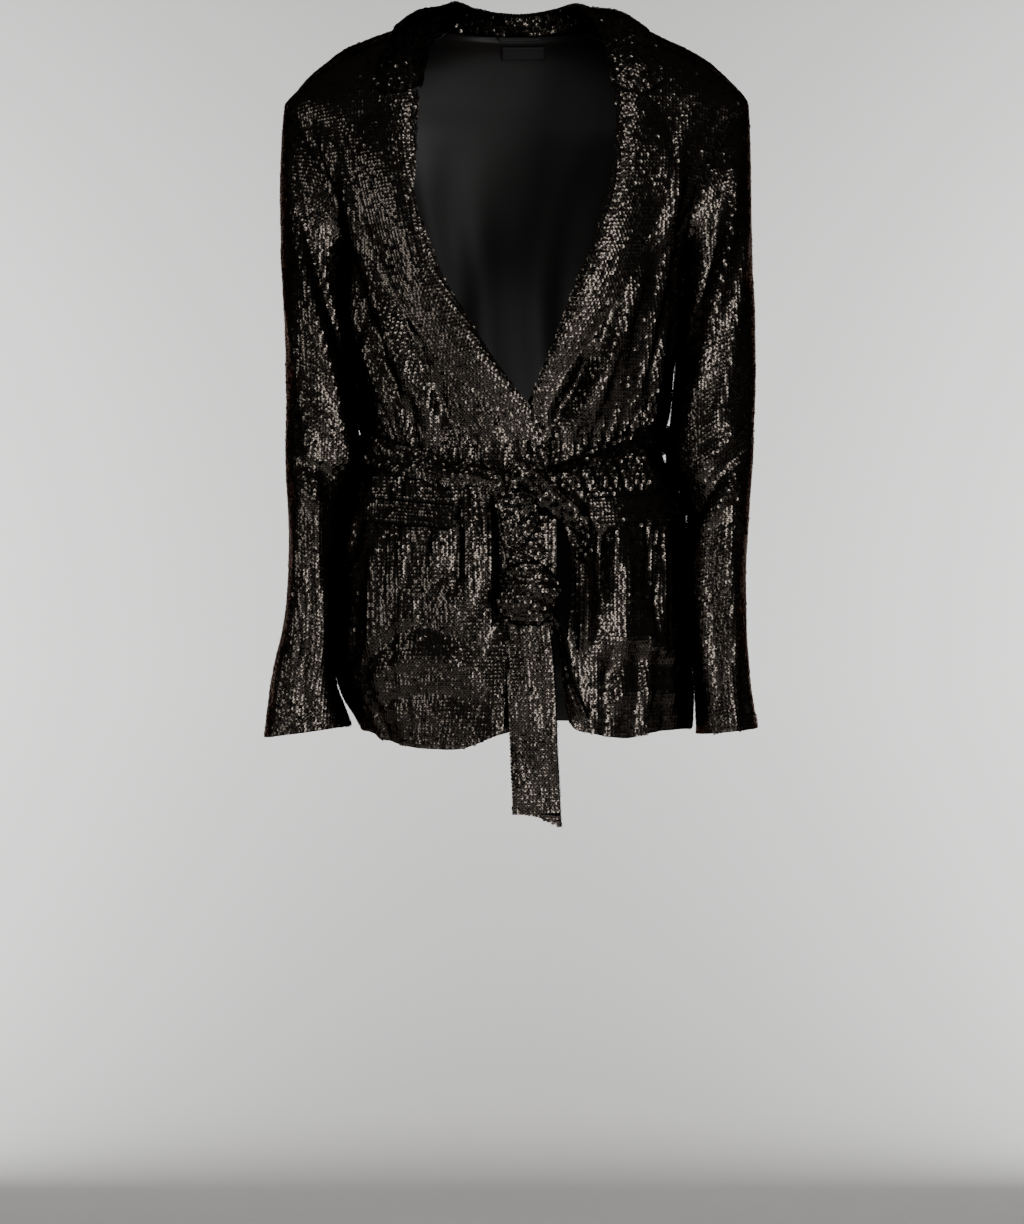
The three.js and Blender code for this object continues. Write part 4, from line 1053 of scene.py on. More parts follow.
@dataclass(frozen=True)
class RingFinish:
    """Glossy near-black rings with a warm glint, a few of them mauve or greenish."""

    name: str = "ring_sequin"
    dark: tuple[float, float, float] = (0.045, 0.033, 0.028)
    warm: tuple[float, float, float] = (0.190, 0.128, 0.098)
    mauve: tuple[float, float, float] = (0.125, 0.078, 0.094)
    green: tuple[float, float, float] = (0.066, 0.062, 0.048)
    metallic: float = 1.0
    glint: tuple[float, float, float, float] = (0.25, 0.21, 0.19, 1.0)
    smoothest: float = 0.17  # roughness, and how much rougher others are
    rougher: float = 0.12
    second_draw: tuple[float, float, float] = (13.0, 7.0, 0.0)  # so that gloss doesn't follow colour

    def material(self) -> Material:
        """The material, with a colour and gloss for each cell of the rings' map."""
        shader = Shader(self.name, Metallic=self.metallic, Specular_IOR_Level=0.6, Specular_Tint=self.glint)
        place = shader.node("ShaderNodeUVMap", {"uv_map": RING_MAP})
        cells = shader.node("ShaderNodeVectorMath", {"operation": "SCALE"}, place, None, float(Rings.cells))
        cell = shader.node("ShaderNodeVectorMath", {"operation": "FLOOR"}, cells)
        shade = shader.node("ShaderNodeTexWhiteNoise", {"noise_dimensions": "2D"}, cell)
        shader.set("Base Color", shader.ramp(
            shade, (0.0, self.dark), (0.45, self.warm), (0.62, self.dark), (0.75, self.mauve),
            (0.88, self.green), (1.0, self.warm)))
        other = shader.node("ShaderNodeVectorMath", {"operation": "ADD"}, cell, self.second_draw)
        gloss = shader.node("ShaderNodeTexWhiteNoise", {"noise_dimensions": "2D"}, other)
        shader.set("Roughness", self.smoothest + gloss * self.rougher)
        return shader.material


@dataclass(frozen=True)
class NetFinish:
    """Black net under the rings."""

    name: str = "black_net"
    dark: tuple[float, float, float] = (0.0015, 0.0015, 0.0015)
    light: tuple[float, float, float] = (0.007, 0.006, 0.0055)
    threads: float = 900.0  # to a metre

    def material(self) -> Material:
        """The material: a fine net with sewing thread under the rings."""
        shader = Shader(self.name, Roughness=0.85, Specular_IOR_Level=0.03)
        place = shader.cloth_place(self.threads)
        net = shader.node("ShaderNodeTexVoronoi", {"feature": "DISTANCE_TO_EDGE"}, place, 1.0)
        shader.set("Base Color", shader.ramp(net, (0.0, self.light), (0.16, self.dark)))
        shader.bump(net, 0.4, 0.0003)
        return shader.material


@dataclass(frozen=True)
class SatinFinish:
    """Smooth black lining with a soft sheen."""

    name: str = "black_satin"
    dark: tuple[float, float, float] = (0.004, 0.0034, 0.003)
    light: tuple[float, float, float] = (0.009, 0.0074, 0.0066)
    threads: float = 5000.0

    def material(self) -> Material:
        """The material: a fine twill with slightly uneven sheen."""
        shader = Shader(self.name, Specular_IOR_Level=0.22, Sheen_Weight=0.03)
        twill = shader.node("ShaderNodeTexWave", {"bands_direction": "DIAGONAL"},
                            shader.cloth_place(self.threads), 0.5, 1.0)
        uneven = shader.node("ShaderNodeTexNoise", {}, shader.cloth_place(60.0), None, 1.0, 3.0)
        shader.set("Base Color", shader.ramp(uneven, (0.3, self.dark), (0.7, self.light)))
        shader.set("Roughness", 0.36 + uneven * 0.16)
        shader.bump(twill, 0.08, 0.0001)
        return shader.material


@dataclass(frozen=True)
class TapeFinish:
    """Matt woven tape of the plain label."""

    name: str = "woven_tape"
    dark: tuple[float, float, float] = (0.010, 0.010, 0.010)
    light: tuple[float, float, float] = (0.028, 0.026, 0.025)

    def material(self) -> Material:
        """The material: crossing ribs of thread."""
        shader = Shader(self.name, Roughness=0.72, Specular_IOR_Level=0.3)
        across = shader.node("ShaderNodeTexWave", {"bands_direction": "X"}, shader.cloth_place(2600.0), 0.5)
        down = shader.node("ShaderNodeTexWave", {"bands_direction": "Y"}, shader.cloth_place(1900.0), 0.5)
        weave = across * down
        shader.set("Base Color", shader.ramp(weave, (0.0, self.dark), (0.8, self.light)))
        shader.bump(weave, 0.35, 0.0002)
        return shader.material


@dataclass
class Finishes:
    """The materials of the blazer."""

    ring: Material = field(default_factory=lambda: RingFinish().material())
    net: Material = field(default_factory=lambda: NetFinish().material())
    satin: Material = field(default_factory=lambda: SatinFinish().material())
    tape: Material = field(default_factory=lambda: TapeFinish().material())


class Bed:
    """Cloth that other pieces lie on."""

    FAR = 60.0  # off the plain body, outside all the cloth
    OFF = 0.1  # where a ray starts above its own cloth
    AROUND = ((0, 0), (1, 0), (-1, 0), (2, 0), (-2, 0), (0, 1), (0, -1))

    def __init__(self, *grids: Grid) -> None:
        """Joins the outer faces of some cloth."""
        vertices, faces, first = [], [], 0
        for grid in grids:
            rows, columns = grid.points.shape[:2]
            around = around_cells(rows - 1, columns - 1)
            faces.append(np.stack([first + i * columns + j for i, j in around], axis=1))
            vertices.append(grid.points.reshape(-1, 3))
            first += rows * columns
        self.tree = BVHTree.FromPolygons(np.concatenate(vertices).tolist(), np.concatenate(faces).tolist())

    def height(self, angle: Values, z: Values, reach_angle: float, reach_z: float) -> Values:
        """Distance from the plain body out to the cloth, the highest near each place.

        Args:
            angle: Degrees from the front.
            z: Heights.
            reach_angle: Degrees between the places that are looked at.
            reach_z: Millimetres between them.

        Returns:
            The heights.
        """
        angle, z = np.broadcast_arrays(angle, z)
        highest = np.zeros(angle.size)
        for step_angle, step_z in self.AROUND:
            point, normal = plain_body(angle + step_angle * reach_angle, z + step_z * reach_z)
            starts = (point + normal * self.FAR).reshape(-1, 3)
            for k, (start, away) in enumerate(zip(starts.tolist(), (-normal).reshape(-1, 3).tolist())):
                distance = self.tree.ray_cast(start, away, 2 * self.FAR)[3]
                if distance is not None:
                    highest[k] = max(highest[k], self.FAR - distance)
        return highest.reshape(angle.shape)

    def covered(self, points: Values, normals: Values, reach: float) -> Values:
        """Whether this cloth lies within reach above each point."""
        found = np.zeros(len(points), bool)
        for k, (point, normal) in enumerate(zip((points + normals * self.OFF).tolist(), normals.tolist())):
            found[k] = self.tree.ray_cast(point, normal, reach)[3] is not None
        return found


def softened(values: Values, times: int) -> Values:
    """Values of a small grid with their steps smoothed away."""
    for _ in range(times):
        for axis in range(values.ndim):
            padded = np.concatenate([values.take([0], axis), values, values.take([-1], axis)], axis)
            size = values.shape[axis]
            before, after = padded.take(range(size), axis), padded.take(range(2, size + 2), axis)
            values = (before + 2 * values + after) / 4
    return values


def between_rows(values: Values, s: Values, t: Values) -> Values:
    """Values of a small grid over the unit square at shares s across and t down."""
    rows, columns = values.shape
    i, j = np.clip(t, 0, 1) * (rows - 1), np.clip(s, 0, 1) * (columns - 1)
    i0, j0 = np.minimum(i.astype(int), rows - 2), np.minimum(j.astype(int), columns - 2)
    down, over = i - i0, j - j0
    upper = lerp(values[i0, j0], values[i0, j0 + 1], over)
    lower = lerp(values[i0 + 1, j0], values[i0 + 1, j0 + 1], over)
    return lerp(upper, lower, down)


BODY_RIPPLE = Ripple(5, 46.0, 2.1)


def body_ripple(angle: Number, z: Number) -> Number:
    """Height of the small waves on the fronts and backs."""
    turned = half_turn(angle)
    at_centre = 1 - rise(np.abs(turned), 164, 179)
    off_shoulder = rise(-np.asarray(z), 30, 90)
    return BODY_RIPPLE.at(2.7 * turned, 0.55 * z) * at_centre * off_shoulder * pinch(turned, z)


@dataclass
class ClothPiece:
    """A piece of the blazer: its surface, its cloth and its rings."""

    name: str
    node: str
    cut: tuple[float, float]  # metres, width and length laid flat
    columns: int = 40
    rows: int = 80
    thickness: float = CLOTH
    closed: bool = False
    held: str = "stretched"
    rests_on: tuple[str, ...] = ()
    seed: int = 1
    sewing: Rings = field(default_factory=Rings)
    slot: str = "sequin_cloth"
    grid: Grid = field(init=False)
    rings: Union[Object, None] = field(init=False, default=None)

    LEAST_SHARE = 0.3  # a share of the cut
    COVER_REACH = 9.0
    STEP = 0.004  # share down the cloth between the places that give a ring its direction
    LEVEL_SHARE = 0.5  # share down the cloth of the row that the weave starts at
    FIRST = 0.0  # place of that row in the weave
    EDGE_PITCH = 4.2
    EDGE_POINTS = 120
    EDGES = ()  # neat rows of rings: first and last s, first and last t

    def surface(self, s: Values, t: Values) -> Values:
        """Outer face: shares across and down to points."""
        raise NotImplementedError

    def plain(self, s: Values, t: Values) -> Values:
        """The face without its folds, which the rings' lattice is laid out on."""
        return self.surface(s, t)

    def facing(self) -> Values:
        """A direction that the outer face looks towards."""
        return FRONT

    def row_shares(self) -> Values:
        """Shares down the piece where it has its rows."""
        return along(self.rows)

    def shape(self) -> "ClothPiece":
        """Samples the outer face."""
        self.grid = sample(self.surface, self.columns, self.row_shares(), self.closed)
        self.grid.turned_to(self.facing())
        return self

    def off_line(self, grid: Grid) -> Values:
        """Distance across the cloth from the line that the columns of rings start at."""
        return np.zeros(grid.points.shape[:2])

    def weave(self, grid: Grid) -> Pair:
        """Distance down the weave, and distance from the line that its columns start at."""
        start = int(self.LEVEL_SHARE * len(grid.t))
        return distance_down(grid, start, np.full(len(grid.s), self.FIRST)), self.off_line(grid)

    def ring_places(self) -> Pair:
        """Shares across and down where rings are sewn on."""
        fine = sample(self.plain, self.columns, along(3 * self.rows), self.closed)
        down, zero = self.weave(fine)
        rows = [Lattice().places(fine, down, zero)]
        even = along(self.EDGE_POINTS)
        for s0, s1, t0, t1 in self.EDGES:
            rows.append(self.edge_row(lerp(s0, s1, even), lerp(t0, t1, even)))
        return np.concatenate([row[0] for row in rows]), np.concatenate([row[1] for row in rows])

    def edge_row(self, s: Values, t: Values) -> Pair:
        """Evenly spaced places along a line of shares."""
        length = run(self.grid.at(s, t)[0])
        steps = np.arange(self.EDGE_PITCH / 2, length[-1], self.EDGE_PITCH)
        return np.interp(steps, length, s), np.interp(steps, length, t)

    def cloth(self, finishes: Finishes) -> Object:
        """The wall of cloth."""
        return wall_mesh(self.name, self.grid, self.thickness, finishes.net, finishes.satin)

    def sew_rings(self, finishes: Finishes, over: Union[Bed, None]) -> Object:
        """The rings of the piece, left out where other cloth covers them.

        Args:
            finishes: The materials.
            over: The cloth that lies on the piece.

        Returns:
            The rings.
        """
        s, t = self.ring_places()
        points, normals = self.grid.at(s, t)
        below, _ = self.grid.at(s, np.clip(t + self.STEP, 0, 1))
        above, _ = self.grid.at(s, np.clip(t - self.STEP, 0, 1))
        down = below - above
        if over is not None:
            shown = ~over.covered(points, normals, self.COVER_REACH)
            points, normals, down = points[shown], normals[shown], down[shown]
        return self.sewing.build(self.name + "_rings", points, normals, down, self.seed, finishes.ring)

    def build(self, finishes: Finishes, over: Union[Bed, None] = None) -> None:
        """Makes the piece, sews its rings on and logs its area.

        Args:
            finishes: The materials.
            over: The cloth that lies on the piece.
        """
        piece = self.cloth(finishes)
        parts = [piece]
        if self.slot == "sequin_cloth":
            self.rings = self.sew_rings(finishes, over)
            parts.append(self.rings)
            log.info("%s: %d rings", self.name, len(self.rings.data.polygons) // Rings.FACES)
        for part in parts:
            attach(part, "root")
        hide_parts(self.node)
        self.declare()

    def shown_area(self) -> float:
        """Square metres of cloth laid flat."""
        return self.grid.area()

    def declare(self) -> None:
        """Logs the area of the cloth laid flat."""
        area = self.shown_area()
        log.info("%s: area %.4f", self.name, area)
        list(self.rests_on)


@dataclass
class Panel(ClothPiece):
    """A panel of the body: across from its inner edge to the side, down from the shoulder to the hem."""

    side: Side = Side.RIGHT
    grain: float = 100.0  # x of a column of rings on the wearer's left
    level: float = -300.0  # z of a row of rings
    hem: Table = field(init=False)
    seam: Table = field(init=False)

    DIRECTION = 1  # -1 on a back
    WAVES = FRONT_WAVES

    def __post_init__(self) -> None:
        """Picks the side's hem and seam."""
        self.hem = self.side.pick(RIGHT_HEM, LEFT_HEM)
        self.seam = self.side.pick(RIGHT_SEAM, LEFT_SEAM)

    def inner_edge(self, t: Values) -> Pair:
        """Angle and height on the edge away from the side."""
        raise NotImplementedError

    def top_edge(self, s: Values) -> Pair:
        """Angle and height on the top seams."""
        raise NotImplementedError

    def hem_edge(self, s: Values) -> Pair:
        """Angle and height on the hem."""
        raise NotImplementedError

    def side_edge(self, t: Values) -> Pair:
        """Angle and height on the armhole and the side seam."""
        return panel_side(t, self.DIRECTION, self.seam)

    def lap(self, angle: Values, z: Values) -> Number:
        """Rise of the panel over another one."""
        return 0.0

    def place(self, s: Values, t: Values) -> Pair:
        """Angle and height on the body."""
        return patch(self.inner_edge, self.side_edge, self.top_edge, self.hem_edge, s, t)

    def plain(self, s: Values, t: Values) -> Values:
        """The panel on the plain body."""
        angle, z = self.place(s, t)
        return plain_body(self.side.value * angle, z)[0]

    def surface(self, s: Values, t: Values) -> Values:
        """The panel with its folds and gathers."""
        angle, z = self.place(s, t)
        turned = self.side.value * angle
        reach = gather_reach(s, turned, z)
        wave = reach * np.cos(2 * np.pi * self.WAVES * s)
        fine = 0.3 * reach * np.cos(2 * np.pi * (2.6 * self.WAVES * s + 0.25 * np.sin(z / 21)))
        edges = rise(s, 0, 0.06) * (1 - rise(s, 0.94, 1))
        return torso(turned, z, wave + fine + self.lap(turned, z) + body_ripple(turned, z) * edges)

    def weave(self, grid: Grid) -> Pair:
        """Level rows, and columns from one line down the panel."""
        start = int(np.argmin(np.abs(grid.points[:, len(grid.s) // 2, 2] - self.level)))
        first = self.level - grid.points[start, :, 2]
        off = (grid.points[..., 0] - self.grain * self.side.value) * self.side.value
        return distance_down(grid, start, first), off


@dataclass
class FrontPanel(Panel):
    """A front, from its wrap edge to the side."""

    edge: Table = field(init=False)

    LAPEL_Z = -215.0  # of the edge, across from the underarm
    STEEPEST = 600  # degrees to the whole height, below the shoulder seam
    EDGES = ((0.012, 0.99, LAST_ROW, LAST_ROW), (0.008, 0.008, 0.3, 0.998), (0.993, 0.993, 0.3, 0.998))

    def __post_init__(self) -> None:
        """Picks the side's outlines."""
        super().__post_init__()
        self.edge = self.side.pick(RIGHT_FRONT_EDGE, LEFT_FRONT_EDGE)

    def inner_edge(self, t: Values) -> Pair:
        """Angle and height on the roll line and the wrap edge."""
        low = np.maximum(t - ARMHOLE_SHARE, 0) / (1 - ARMHOLE_SHARE)
        high = np.minimum(t / ARMHOLE_SHARE, 1)
        z = lerp(lerp(NECK_Z, self.LAPEL_Z, high), self.edge.columns["z"][-1], low)
        angle = self.side.value * angle_at(self.edge.at(z).x, z)
        ridge = 90 - SEAM_ANGLE
        return np.minimum(angle, ridge - self.STEEPEST * np.minimum(t, 0.04)), z

    def top_edge(self, s: Values) -> Pair:
        """Angle and height on the shoulder seam."""
        return np.full_like(s, 90 - SEAM_ANGLE), lerp(NECK_Z, TIP_Z, s)

    def hem_edge(self, s: Values) -> Pair:
        """Angle and height on the hem."""
        one = np.ones(1)
        angle = lerp(self.inner_edge(one)[0], self.side_edge(one)[0], s)
        z = self.hem.at(np.maximum(angle, self.hem.columns["angle"][0])).z
        return angle, np.where(s == 0, self.edge.columns["z"][-1], z)

    def lap(self, angle: Values, z: Values) -> Number:
        """Rise of the right front over the left one."""
        return wrap_lift(torso(angle, z)[..., 0], z) if self.side is Side.RIGHT else 0.0


@dataclass
class BackPanel(Panel):
    """A back half, from the centre seam to the side."""

    DIRECTION = -1
    WAVES = BACK_WAVES
    NECK_SHARE = 0.4  # of the panel's top
    EDGES = ((0.008, 0.99, LAST_ROW, LAST_ROW), (0.993, 0.993, 0.3, 0.998))

    def facing(self) -> Values:
        """The outer face looks back."""
        return -FRONT

    def inner_edge(self, t: Values) -> Pair:
        """Angle and height on the centre seam."""
        low = np.maximum(t - ARMHOLE_SHARE, 0) / (1 - ARMHOLE_SHARE)
        high = np.minimum(t / ARMHOLE_SHARE, 1)
        z = lerp(lerp(NECK_Z, UNDERARM_Z, high), self.hem.columns["z"][-1], low)
        return np.full_like(z, 180 - SEAM_ANGLE), z

    def top_edge(self, s: Values) -> Pair:
        """Angle and height on the neck and shoulder seams."""
        angle = lerp(180 - SEAM_ANGLE, 90 + SEAM_ANGLE, np.minimum(s / self.NECK_SHARE, 1))
        return angle, lerp(NECK_Z, TIP_Z, np.maximum(s - self.NECK_SHARE, 0) / (1 - self.NECK_SHARE))

    def hem_edge(self, s: Values) -> Pair:
        """Angle and height on the hem."""
        angle = lerp(180 - SEAM_ANGLE, self.side_edge(np.ones(1))[0], s)
        return angle, self.hem.at(angle).z


@dataclass
class Sleeve(ClothPiece):
    """A long sleeve: round from its outside over the front, down from the armhole."""

    side: Side = Side.RIGHT
    closed: bool = True

    NEAR_BODY = 2.2  # what the inner side of the cloth stands nearer to the body
    NEAR_WAIST = 5.0
    UNDERARM_SLACK = 1.6
    FOLD_REACH = 48  # half width that a fold's height is measured against
    BOXINESS = 0.9  # 1 makes the sections ellipses
    LEVEL_SHARE = 0.55
    EDGE_POINTS = 160
    EDGES = ((0, 1, LAST_ROW, LAST_ROW), (0, 1, 0.004, 0.004))

    def __post_init__(self) -> None:
        """Picks the side's sections and folds."""
        self.sections = self.side.pick(RIGHT_SLEEVE, LEFT_SLEEVE)
        self.folds = self.side.pick(RIGHT_SLEEVE_FOLDS, LEFT_SLEEVE_FOLDS)
        self.ripple = Ripple(40 + self.side.value, 60.0, 1.9, closed=True)

    def facing(self) -> Values:
        """The sampled middle looks forward and outward."""
        return np.array([-self.side.value * 0.3, -1.0, 0.0])

    def row_shares(self) -> Values:
        """Rows closest together at the armhole."""
        return along(self.rows) ** 1.15

    def tube(self, s: Values, t: Values, height: Values) -> Values:
        """The sleeve with a height of folds all round."""
        turn = 2 * np.pi * s
        row = self.sections.at(t)
        sign = self.side.value
        near = self.NEAR_BODY * rise(t, 0.1, 0.25) * (1 - rise(t, 0.75, 0.95))
        near = near + self.NEAR_WAIST * bell(t - 0.48, 0.06)
        outer = stack(sign * row.outerX, row.middle, row.outerZ)
        inner = stack(sign * (row.innerX - near), row.middle, row.innerZ)
        middle = (outer + inner) / 2
        grow = 1 + height * rise(t, 0.03, 0.1) / self.FOLD_REACH
        tube = middle + (outer - middle) * (power(np.cos(turn), self.BOXINESS) * np.sqrt(grow))[..., None]
        tube = tube + FRONT * (row.depth * power(np.sin(turn), self.BOXINESS) * grow)[..., None]
        hole = armhole(turn)
        share = rise(t, -0.01, 0.17)
        under = sign * self.UNDERARM_SLACK * share * (1 - share) * (1 - np.cos(turn))
        return lerp(torso(sign * hole.angle, hole.z), tube, share[..., None]) + stack(under, 0.0, 0.0)

    def plain(self, s: Values, t: Values) -> Values:
        """The sleeve without folds."""
        return self.tube(s, t, np.zeros_like(s * t))

    def surface(self, s: Values, t: Values) -> Values:
        """The sleeve with its folds and small waves."""
        degrees = 360 * (s - np.floor(s))
        height = fold_height(self.folds, degrees, t * SLEEVE_LENGTH, 0.78)
        calm = (0.65 + 0.35 * np.cos(2 * np.pi * s)) * rise(t, 0.05, 0.2)
        return self.tube(s, t, height + self.ripple.at(s, t * SLEEVE_LENGTH) * calm)


@dataclass
class Lapel(ClothPiece):
    """A lapel: across from the roll line to its outer edge, down from the notch."""

    side: Side = Side.RIGHT
    bed: Union[Bed, None] = None

    NOTCH = 11  # drop of the notch in the middle of the top edge
    ROLL = 5  # fullness of the turned cloth
    LEVEL_SHARE = 0.55
    EDGES = ((0.97, 0.97, 0.005, 0.995), (0.03, 0.95, 0.006, 0.006), (0.02, 0.02, 0.02, 0.995))

    def __post_init__(self) -> None:
        """Lays the lapel on its front."""
        self.lines = self.side.pick(RIGHT_LAPEL, LEFT_LAPEL)
        s, t = np.meshgrid(along(12), along(44))
        x, z = self.outline(s, t)
        heights = self.bed.height(angle_at(x, z), z, 2, 3)
        self.heights = softened(heights, 5)

    def outline(self, s: Values, t: Values) -> Pair:
        """The lapel seen from the front."""
        row = self.lines.at(t)
        notch = self.NOTCH * np.sin(np.pi * s) * np.exp(-t / 0.07)
        return lerp(row.rollX, row.edgeX, s), lerp(row.rollZ, row.edgeZ, s) + notch

    def surface(self, s: Values, t: Values) -> Values:
        """The lapel, rolled over and lying on its front."""
        x, z = self.outline(s, t)
        flat = rise(t, 0.7, 0.98)
        roll = self.ROLL * np.sin(np.pi * np.minimum(s, 1) ** 0.6) * (1 - 0.8 * flat)
        point, normal = plain_body(angle_at(x, z), z)
        height = between_rows(self.heights, s, t) + CLOTH + 2 * CLEAR + roll
        return point + normal * height[..., None]

    def off_line(self, grid: Grid) -> Values:
        """Columns run along the outer edge, as the grain of the facing does."""
        across = grid.widths()
        return across - across[:, -1:] + 2.0


@dataclass
class Collar(ClothPiece):
    """The collar: across from the neck seam over the fold to its edge, round from right to left."""

    CROWN = 7  # fullness of the fall, less at the back
    EDGE_POINTS = 200
    EDGES = ((0.985, 0.985, 0.004, 0.996), (0.1, 0.98, 0.006, 0.006), (0.1, 0.98, 0.994, 0.994))

    def facing(self) -> Values:
        """The fall looks back at the middle; the sampled place is on the stand."""
        return FRONT

    def surface(self, s: Values, t: Values) -> Values:
        """The folded collar."""
        row = COLLAR.at(t)
        seam = stack(row.seamX, row.seamY, row.seamZ)
        fold = stack(row.foldX, row.foldY, row.foldZ)
        edge = stack(row.edgeX, row.edgeY, row.edgeZ)
        away = edge - fold
        away[..., 2] = 0
        away = unit(away)
        at_front = np.minimum(t, 1 - t)
        crown = self.CROWN - 4.5 * rise(at_front, 0.28, 0.45)
        inside = fold - 3.2 * away + stack(0.0, 0.0, -2.5 + 0 * t)
        outside = fold + 3.4 * away + stack(0.0, 0.0, -1.5 + 0 * t)
        fall = lerp(outside, edge, 0.5) + away * (0.3 * crown)[..., None]
        fall = fall + stack(0 * t, -6 * (1 - rise(at_front, 0.06, 0.2)),
                            crown * rise(at_front, 0.1, 0.2) - 11 * (1 - rise(at_front, 0, 0.07)))
        return through([seam, lerp(seam, fold, 0.55), inside, fold, outside, fall, edge], s)

    def off_line(self, grid: Grid) -> Values:
        """Columns run round the neck from the collar's fold."""
        across = grid.widths()
        middle = grid.points.shape[1] // 2
        return across - across[:, middle : middle + 1]


def through(points: Sequence[Values], share: Values) -> Values:
    """A smooth curve through points, at a share of its length in points."""
    stacked = np.stack(points)
    place = np.clip(share, 0, 1) * (len(points) - 1)
    i = np.minimum(place.astype(int), len(points) - 2)
    u = (place - i)[..., None]

    def at(k: Values) -> Values:
        """The point with this index for each place."""
        index = np.clip(k, 0, len(points) - 1)[None, ..., None]
        return np.take_along_axis(stacked, np.broadcast_to(index, (1, *stacked.shape[1:])), axis=0)[0]

    return (at(i - 1) * (-0.5 * u + u**2 - 0.5 * u**3) + at(i) * (1 - 2.5 * u**2 + 1.5 * u**3)
            + at(i + 1) * (0.5 * u + 2 * u**2 - 1.5 * u**3) + at(i + 2) * (-0.5 * u**2 + 0.5 * u**3))


@dataclass
class Belt(ClothPiece):
    """The belt round the waist: across its width, along from the knot and back to it."""

    bed: Union[Bed, None] = None
    start: float = 8.6  # degrees from the front
    end: float = 357.25
    rise_at_knot: float = 7.2

    BULGE = 2.6
    CREASE = 0.9
    PLACES = 96  # round the waist where the cloth's height is taken
    EDGE_POINTS = 300
    EDGES = ((0.04, 0.04, 0, 1), (0.96, 0.96, 0, 1))

    def __post_init__(self) -> None:
        """Lays the belt on the gathered cloth."""
        angle = self.angle(along(self.PLACES))
        row = BELT.at(angle)
        levels = [row.z + k * row.width for k in (-0.5, -0.25, 0, 0.25, 0.5)]
        self.heights = softened(np.max([self.bed.height(angle, z, 3, 2) for z in levels], axis=0), 2)

    def facing(self) -> Values:
        """The sampled middle is at the back."""
        return -FRONT

    def angle(self, t: Values) -> Values:
        """Degrees from the front, from -180 to 180."""
        return half_turn(lerp(self.start, self.end, t))

    def surface(self, s: Values, t: Values) -> Values:
        """The belt, creased along by its tying."""
        angle = self.angle(t)
        row = BELT.at(angle)
        point, normal = plain_body(angle, row.z + (0.5 - s) * row.width)
        height = np.interp(t, along(self.PLACES), self.heights)
        tight = rise(24 - row.width, 0, 10)
        crease = (self.CREASE + 1.2 * tight) * np.cos(2 * np.pi * (1.5 * s + 0.35 * np.sin(11 * t + 4 * s)))
        bulge = self.BULGE * np.sin(np.pi * s) + 0.8 * np.sin(31 * t + 5 * s)
        tied = self.rise_at_knot * (1 - rise(np.minimum(t, 1 - t), 0, 0.05))
        lift = height + 5 * CLEAR + BELT_CLOTH + bulge + tied + crease * np.sin(np.pi * s)
        return point + normal * lift[..., None]


@dataclass
class Pocket(ClothPiece):
    """A flap or welt of a pocket: across from its front end, down from its top line."""

    bed: Union[Bed, None] = None
    start: tuple[float, float] = (0.0, 0.0)  # x and z of the flap's front end
    end: tuple[float, float] = (0.0, 0.0)
    upper: float = 0.0
    lower: float = 22.0
    free: float = 1.6  # how far the lower edge stands off

    LEVEL_SHARE = 0.0
    FIRST = -1.8

    def __post_init__(self) -> None:
        """Lays the piece on the panels."""
        s, t = np.meshgrid(along(28), along(4))
        self.heights = softened(self.bed.height(*self.place(s, t), 2.2, 4), 3)

    def place(self, s: Values, t: Values) -> Pair:
        """Angle and height on the body."""
        angle = lerp(angle_at(*self.start), angle_at(*self.end), s)
        return angle, lerp(self.start[1], self.end[1], s) - lerp(self.upper, self.lower, t)

    def surface(self, s: Values, t: Values) -> Values:
        """The piece lying on the panels, its lower edge a little off them."""
        point, normal = plain_body(*self.place(s, t))
        lift = between_rows(self.heights, s, t) + 4 * CLEAR + CLOTH + self.free * t
        return point + normal * lift[..., None]


@dataclass
class Band(ClothPiece):
    """A stretch of the folded belt that is one closed lump."""

    closed: bool = True
    held: str = "folded"

    def shown_area(self) -> float:
        """Square metres of the band laid flat, half of its whole surface."""
        return self.grid.area() / 2

    def cloth(self, finishes: Finishes) -> Object:
        """The lump."""
        return lump_mesh(self.name, self.grid, finishes.net)


@dataclass
class Tied(Band):
    """A tied end of the belt: round its section, along from the knot."""

    line: Union[Table, None] = None
    depth: float = 4.0
    slant: float = 0.0

    def middle(self, t: Values) -> Values:
        """Points on the band's own line."""
        row = self.line.at(t)
        return stack(row.x, row.y, row.z)

    def surface(self, s: Values, t: Values) -> Values:
        """The band with rounded faces and lengthwise creases."""
        row = self.line.at(t)
        ahead = unit(self.middle(np.minimum(t + 0.01, 1)) - self.middle(np.maximum(t - 0.01, 0)))
        across = -unit(np.cross(ahead, FRONT))
        turned = np.radians(row.turn)[..., None]
        across = across * np.cos(turned) + np.cross(ahead, across) * np.sin(turned)
        face = unit(np.cross(ahead, across))
        turn = 2 * np.pi * s
        off = power(np.cos(turn), 0.7) * 0.5
        crease = 1.1 * np.cos(2 * np.pi * (2.2 * off + 0.3 * np.sin(4 * t + 1))) * (1 - (2 * off) ** 2)
        lift = self.depth * 0.5 * power(np.sin(turn), 0.7) + crease
        cut = np.where(t >= 1, self.slant * off, 0.0)
        return (self.middle(t) + across * (row.width * off)[..., None] + face * lift[..., None]
                + ahead * cut[..., None])


